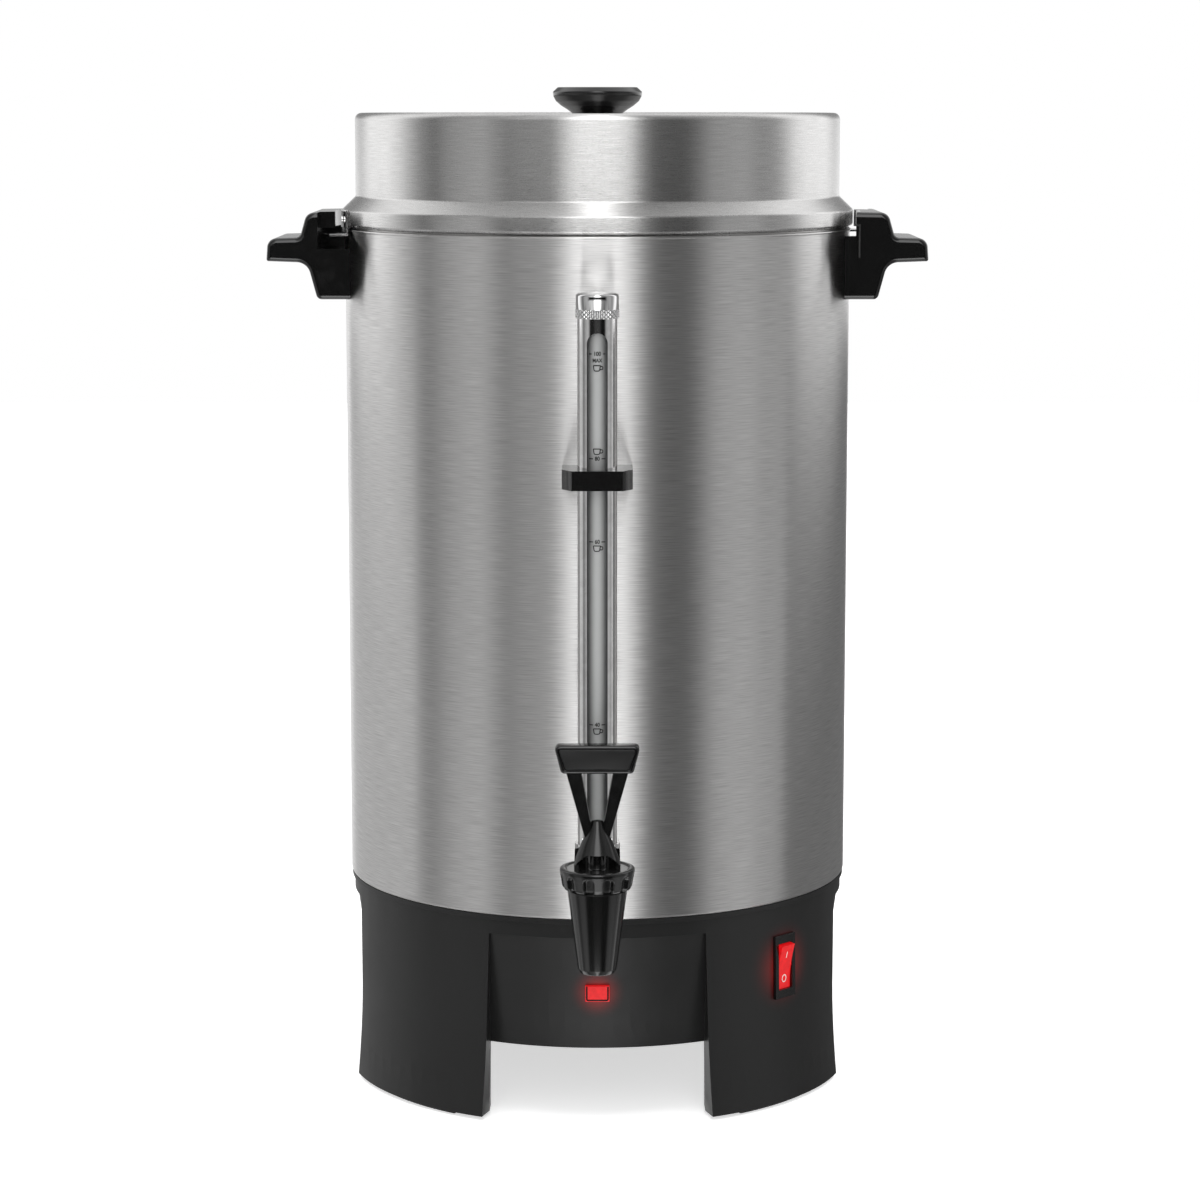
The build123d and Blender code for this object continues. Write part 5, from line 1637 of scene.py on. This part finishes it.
@dataclass
class Base(Assembly):
    """The black housing on four legs, its window, switch and electrics."""

    lens_centre: Place = (0.0, -0.1245, 0.0674)
    switch_centre: Place = (0.0954, -0.0883, 0.0723)
    housing_edge: float = 1.2
    waist_radius: float = 128.4
    foot_radius: float = 130.4
    waist_height: float = 103.6
    flare_height: float = 50.0
    flare_reach: float = 2.9
    flare_core: float = 112.0
    flare_cuts: tuple[float, ...] = (10.0, 18.0, 26.0, 34.0, 42.0, 50.0, 76.0)
    switch_turn: float = 47.2

    def build(self) -> None:
        """Round the housing, light its windows and dress the rest."""
        housing = rounded_copy("base_housing", self.housing_edge)
        self.flare(housing)
        halos = (Halo(self.lens_centre, 0.016, 0.5), Halo(self.switch_centre, 0.026, 0.35))
        material = HaloedPlastic(SATIN_PLASTIC, halos).material()
        housing.data.materials.clear()
        housing.data.materials.append(material)
        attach(housing, "urn")
        self.finishes.nodes(Slot.SATIN, "base_bottom_cover", "cord_gland")
        self.finishes.nodes(Slot.RUBBER, "foot_pads")
        self.moulded("switch_body", 0.35, Slot.GLOSS, "urn")
        self.moulded("switch_rocker", 0.5, Slot.RED, "rocker")
        self.moulded("indicator_lens", 0.4, Slot.RED, "urn")
        self.indicator_border()
        self.switch_marks()
        self.finishes.nodes(Slot.GLASS, "indicator_lamp")
        self.finishes.nodes(Slot.BRASS, "switch_terminals")
        self.finishes.nodes(Slot.HEATER, "brew_heater", "keep_warm_heater")
        self.finishes.nodes(Slot.ALUMINIUM, "thermostat")
        self.finishes.nodes(Slot.CERAMIC, "thermal_fuse", "terminal_block")
        self.finishes.nodes(Slot.WIRE, "wiring_harness")

    def flare(self, housing: Piece) -> None:
        """Draw the housing in above its legs and out again at its feet.

        Args:
            housing: the housing's piece.
        """
        bm = bmesh.new()
        bm.from_mesh(housing.data)
        for height in self.flare_cuts:
            cut, level = bm.verts[:] + bm.edges[:] + bm.faces[:], (0.0, 0.0, height * MM)
            bmesh.ops.bisect_plane(bm, geom=cut, plane_co=level, plane_no=(0.0, 0.0, 1.0))
        for vertex in bm.verts:
            radius = math.hypot(vertex.co.x, vertex.co.y) / MM
            height = vertex.co.z / MM
            if radius < self.flare_core or height > self.waist_height:
                continue
            share = height / self.waist_height
            straight = self.foot_radius + (self.waist_radius - self.foot_radius) * share
            fall = max(0.0, 1.0 - height / self.flare_height)
            drawn = self.waist_radius + self.flare_reach * fall**1.7
            vertex.co.xy *= 1.0 + (drawn - straight) / radius
        for face in bm.faces:
            face.smooth = True
        bm.to_mesh(housing.data)
        bm.free()

    def indicator_border(self) -> None:
        """Dark printed border round the indicator's window."""
        inset, width = 0.75, 0.8
        low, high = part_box("indicator_lens")
        half = (high.x - low.x) / 2.0 / MM - inset
        bottom, top = low.z / MM + inset, high.z / MM - inset
        corners = [(0.0, bottom), (half, bottom), (half, top), (-half, top), (-half, bottom)]
        corners.append((0.0, bottom))
        border = stroke_mesh([rounded_path(corners, [0.6] * 4, steps=4)], width)
        border.name = "indicator_border"
        press_on(border, "indicator_lens", 0.0, 0.08)
        self.place(border, Slot.GLOSS, "urn")

    def switch_marks(self) -> None:
        """Printed I and O on the rocker."""
        low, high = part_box("switch_rocker")
        bottom, top = low.z / MM, high.z / MM
        ring = arc_points((0.0, bottom + 5.2), (1.5, 1.8), 20)
        marks = stroke_mesh([[(0.0, top - 7.4), (0.0, top - 4.2)], ring], 0.45)
        marks.name = "switch_marks"
        press_on(marks, "switch_rocker", self.switch_turn, 0.1)
        self.place(marks, Slot.CERAMIC, "rocker")


@dataclass
class Percolator(Assembly):
    """The pump tube, its valve and the coffee basket."""

    def build(self) -> None:
        """Dress the percolator."""
        names = ("pump_base", "pump_stem", "coffee_basket", "basket_lid")
        self.finishes.nodes(Slot.ALUMINIUM, *names)
        self.finishes.nodes(Slot.PLAIN, "pump_valve_disc")


# ------------------------------------------------------------------ studio


def arc(low: float, high: float) -> Point:
    """Range of angles, from degrees to radians."""
    return math.radians(low), math.radians(high)


@dataclass
class Studio:
    """Pale floor, white surroundings with tall soft panels, and the camera."""

    distance: float = 1.76798
    eye_height: float = 0.505116
    pitch: float = 8.314
    side_step: float = 0.0013
    lens: float = 102.09
    panel_strength: float = 2.4
    flag_width: float = 50.0
    flag_level: float = -11.5
    flag_height: float = 22.0
    low_boost: float = 1.8
    deep_share: float = 0.6
    behind_share: float = 0.75
    panels: tuple[Point, ...] = (
        (-180, 0.46), (-150, 0.43), (-137, 0.50), (-118, 0.53), (-108, 0.42), (-99, 0.23),
        (-91, 0.10), (-83, 0.065), (-76, 0.14), (-68, 0.17), (-50, 0.20), (-40, 0.30),
        (-21, 0.30), (-16, 0.76), (-10, 1.08), (9, 1.08), (16, 0.92), (21, 0.36), (27, 0.12),
        (42, 0.09), (50, 0.12), (58, 0.15), (74, 0.18), (84, 0.13), (92, 0.15), (99, 0.25),
        (107, 0.45), (118, 0.54), (150, 0.50), (180, 0.46),
    )

    def build(self) -> None:
        """Make the world, the floor, the lights and the camera."""
        self.world()
        self.floor()
        self.card("studio_card_left", (-140.0, -78.0), 0.52)
        self.card("studio_card_right", (82.0, 150.0), 0.17)
        self.light("key_top", (0.0, -0.5, 2.2), (0.0, 0.0, 0.3), size=(1.8, 1.4), power=26.0)
        self.camera()

    def world(self) -> None:
        """White to the camera; to the metal, panels and flags round the set."""
        world = bpy.data.worlds.new("studio")
        bpy.context.scene.world = world
        world.use_nodes = True
        nodes = Nodes(world.node_tree)
        direction = nodes.add("TexCoord").outputs["Generated"]
        axes = nodes.add("SeparateXYZ", {0: direction}).outputs
        turn = nodes.math("ARCTAN2", axes[0], nodes.math("MULTIPLY", axes[1], -1.0))
        level = nodes.math("ARCSINE", axes[2])
        stops = [((angle + 180) / 360, value) for angle, value in self.panels]
        ring = nodes.ramp(nodes.remap(turn, (-math.pi, math.pi)), stops)
        parts = self.front_flag(nodes, turn, level), self.rear_flag(nodes, turn, level)
        low = nodes.remap(level, arc(-30, -16), (self.low_boost, 1.0))
        deep = nodes.remap(level, arc(-42, -31), (self.deep_share, 1.0))
        strength = nodes.product(*parts, low, deep, self.panel_strength)
        panels = nodes.add("Background", {"Color": ring, "Strength": strength})
        white = nodes.add("Background", {"Color": (1.0, 1.0, 1.0, 1.0), "Strength": 1.0})
        seen = nodes.add("LightPath").outputs["Is Camera Ray"]
        mixed = nodes.add("MixShader", {0: seen, 1: panels.outputs[0], 2: white.outputs[0]})
        target = world.node_tree.nodes["World Output"].inputs["Surface"]
        world.node_tree.links.new(mixed.outputs[0], target)

    def front_flag(self, nodes: Nodes, turn: Socket, level: Socket) -> Socket:
        """Dark flag in front of the set, which keeps glossy black pieces black.

        Args:
            nodes: the world's nodes.
            turn: the direction's angle from the front.
            level: its angle above the horizon.

        Returns:
            The share of light that the flag leaves.
        """
        width, height = math.radians(self.flag_width), math.radians(self.flag_height)
        lifted = nodes.math("SUBTRACT", level, math.radians(self.flag_level))
        sideways = nodes.math("ABSOLUTE", nodes.math("DIVIDE", turn, width))
        upright = nodes.math("ABSOLUTE", nodes.math("DIVIDE", lifted, height))
        apart = nodes.math("MAXIMUM", sideways, upright)
        return nodes.remap(apart, (0.85, 1.1), (0.015, 1.0))

    def rear_flag(self, nodes: Nodes, turn: Socket, level: Socket) -> Socket:
        """Grey flag low behind the set, which keeps upward faces from glaring.

        Args:
            nodes: the world's nodes.
            turn: the direction's angle from the front.
            level: its angle above the horizon.

        Returns:
            The share of light that the flag leaves.
        """
        behind = nodes.remap(nodes.math("ABSOLUTE", turn), arc(138, 152))
        above = nodes.remap(level, arc(-2, 5))
        below = nodes.remap(level, arc(24, 40), (self.behind_share, 0.0))
        return nodes.math("SUBTRACT", 1.0, nodes.product(behind, above, below))

    def floor(self) -> None:
        """Plain pale floor that keeps the urn's soft shadow."""
        bm = bmesh.new()
        bmesh.ops.create_grid(bm, x_segments=8, y_segments=8, size=4.0)
        floor = link_mesh("studio_floor", bm)
        s = Surface("pale_floor")
        cloud = s.effect(Effect.CLOUDS, Scale=3.0)["Cloud"]
        s.feed(Base_Color=s.mix(cloud, (0.93, 0.93, 0.93), (0.95, 0.95, 0.95)), Roughness=0.8)
        s.feed(Emission_Color=(1.0, 1.0, 1.0, 1.0), Emission_Strength=0.6)
        floor.data.materials.append(s.material)
        floor.visible_glossy = False

    def card(self, name: str, span: Point, value: float) -> None:
        """Add a curved grey card beside the tank that only its metal reflects.

        Args:
            name: the card's name.
            span: first and last angle from the front, in degrees.
            value: the card's grey.
        """
        radius, low, high, steps = 0.42, -0.35, 0.37, 24
        bm = bmesh.new()
        pairs = []
        for step in range(steps + 1):
            angle = math.radians(span[0] + (span[1] - span[0]) * step / steps)
            x, y = radius * math.sin(angle), -radius * math.cos(angle)
            pairs.append((bm.verts.new((x, y, low)), bm.verts.new((x, y, high))))
        for first, second in zip(pairs, pairs[1:]):
            bm.faces.new((first[0], second[0], second[1], first[1]))
        card = link_mesh(name, bm)
        s = Surface(name)
        s.feed(Base_Color=(0.0, 0.0, 0.0, 1.0), Roughness=1.0, Specular_IOR_Level=0.0)
        s.feed(Emission_Color=(value, value, value, 1.0), Emission_Strength=1.0)
        s.material.cycles.emission_sampling = "NONE"
        card.data.materials.append(s.material)
        card.visible_camera = False
        card.visible_diffuse = False
        card.visible_transmission = False
        card.visible_shadow = False

    def light(self, name: str, place: Place, target: Place, size: Point, power: float) -> None:
        """Add a soft rectangular light.

        Args:
            name: the light's name.
            place: where it hangs, in metres.
            target: the point that it faces.
            size: width and height in metres.
            power: in watts.
        """
        data = bpy.data.lights.new(name, "AREA")
        data.shape = "RECTANGLE"
        data.size, data.size_y = size
        data.energy = power
        lamp = bpy.data.objects.new(name, data)
        lamp.location = place
        away = Vector(place) - Vector(target)
        lamp.rotation_euler = away.to_track_quat("Z", "Y").to_euler()
        lamp.visible_glossy = False
        bpy.context.scene.collection.objects.link(lamp)

    def camera(self) -> None:
        """Add the camera at the viewing angle."""
        data = bpy.data.cameras.new("camera")
        data.lens = self.lens
        data.sensor_width = 36.0
        camera = bpy.data.objects.new("camera", data)
        camera.location = (self.side_step, -self.distance, self.eye_height)
        camera.rotation_euler = (math.radians(90.0 - self.pitch), 0.0, 0.0)
        bpy.context.scene.collection.objects.link(camera)
        bpy.context.scene.camera = camera


def build_scene() -> None:
    """Dress every sub-assembly, then set up the studio."""
    finishes = Finishes()
    for kind in (Tank, Lid, Handles, SightGauge, Tap, Base, Percolator):
        kind(finishes).build()
        log.info("built %s", kind.__name__)
    Studio().build()
    bpy.context.scene.view_settings.view_transform = "Standard"


if __name__ == "__main__":
    logging.basicConfig(level=logging.INFO)
    build_scene()
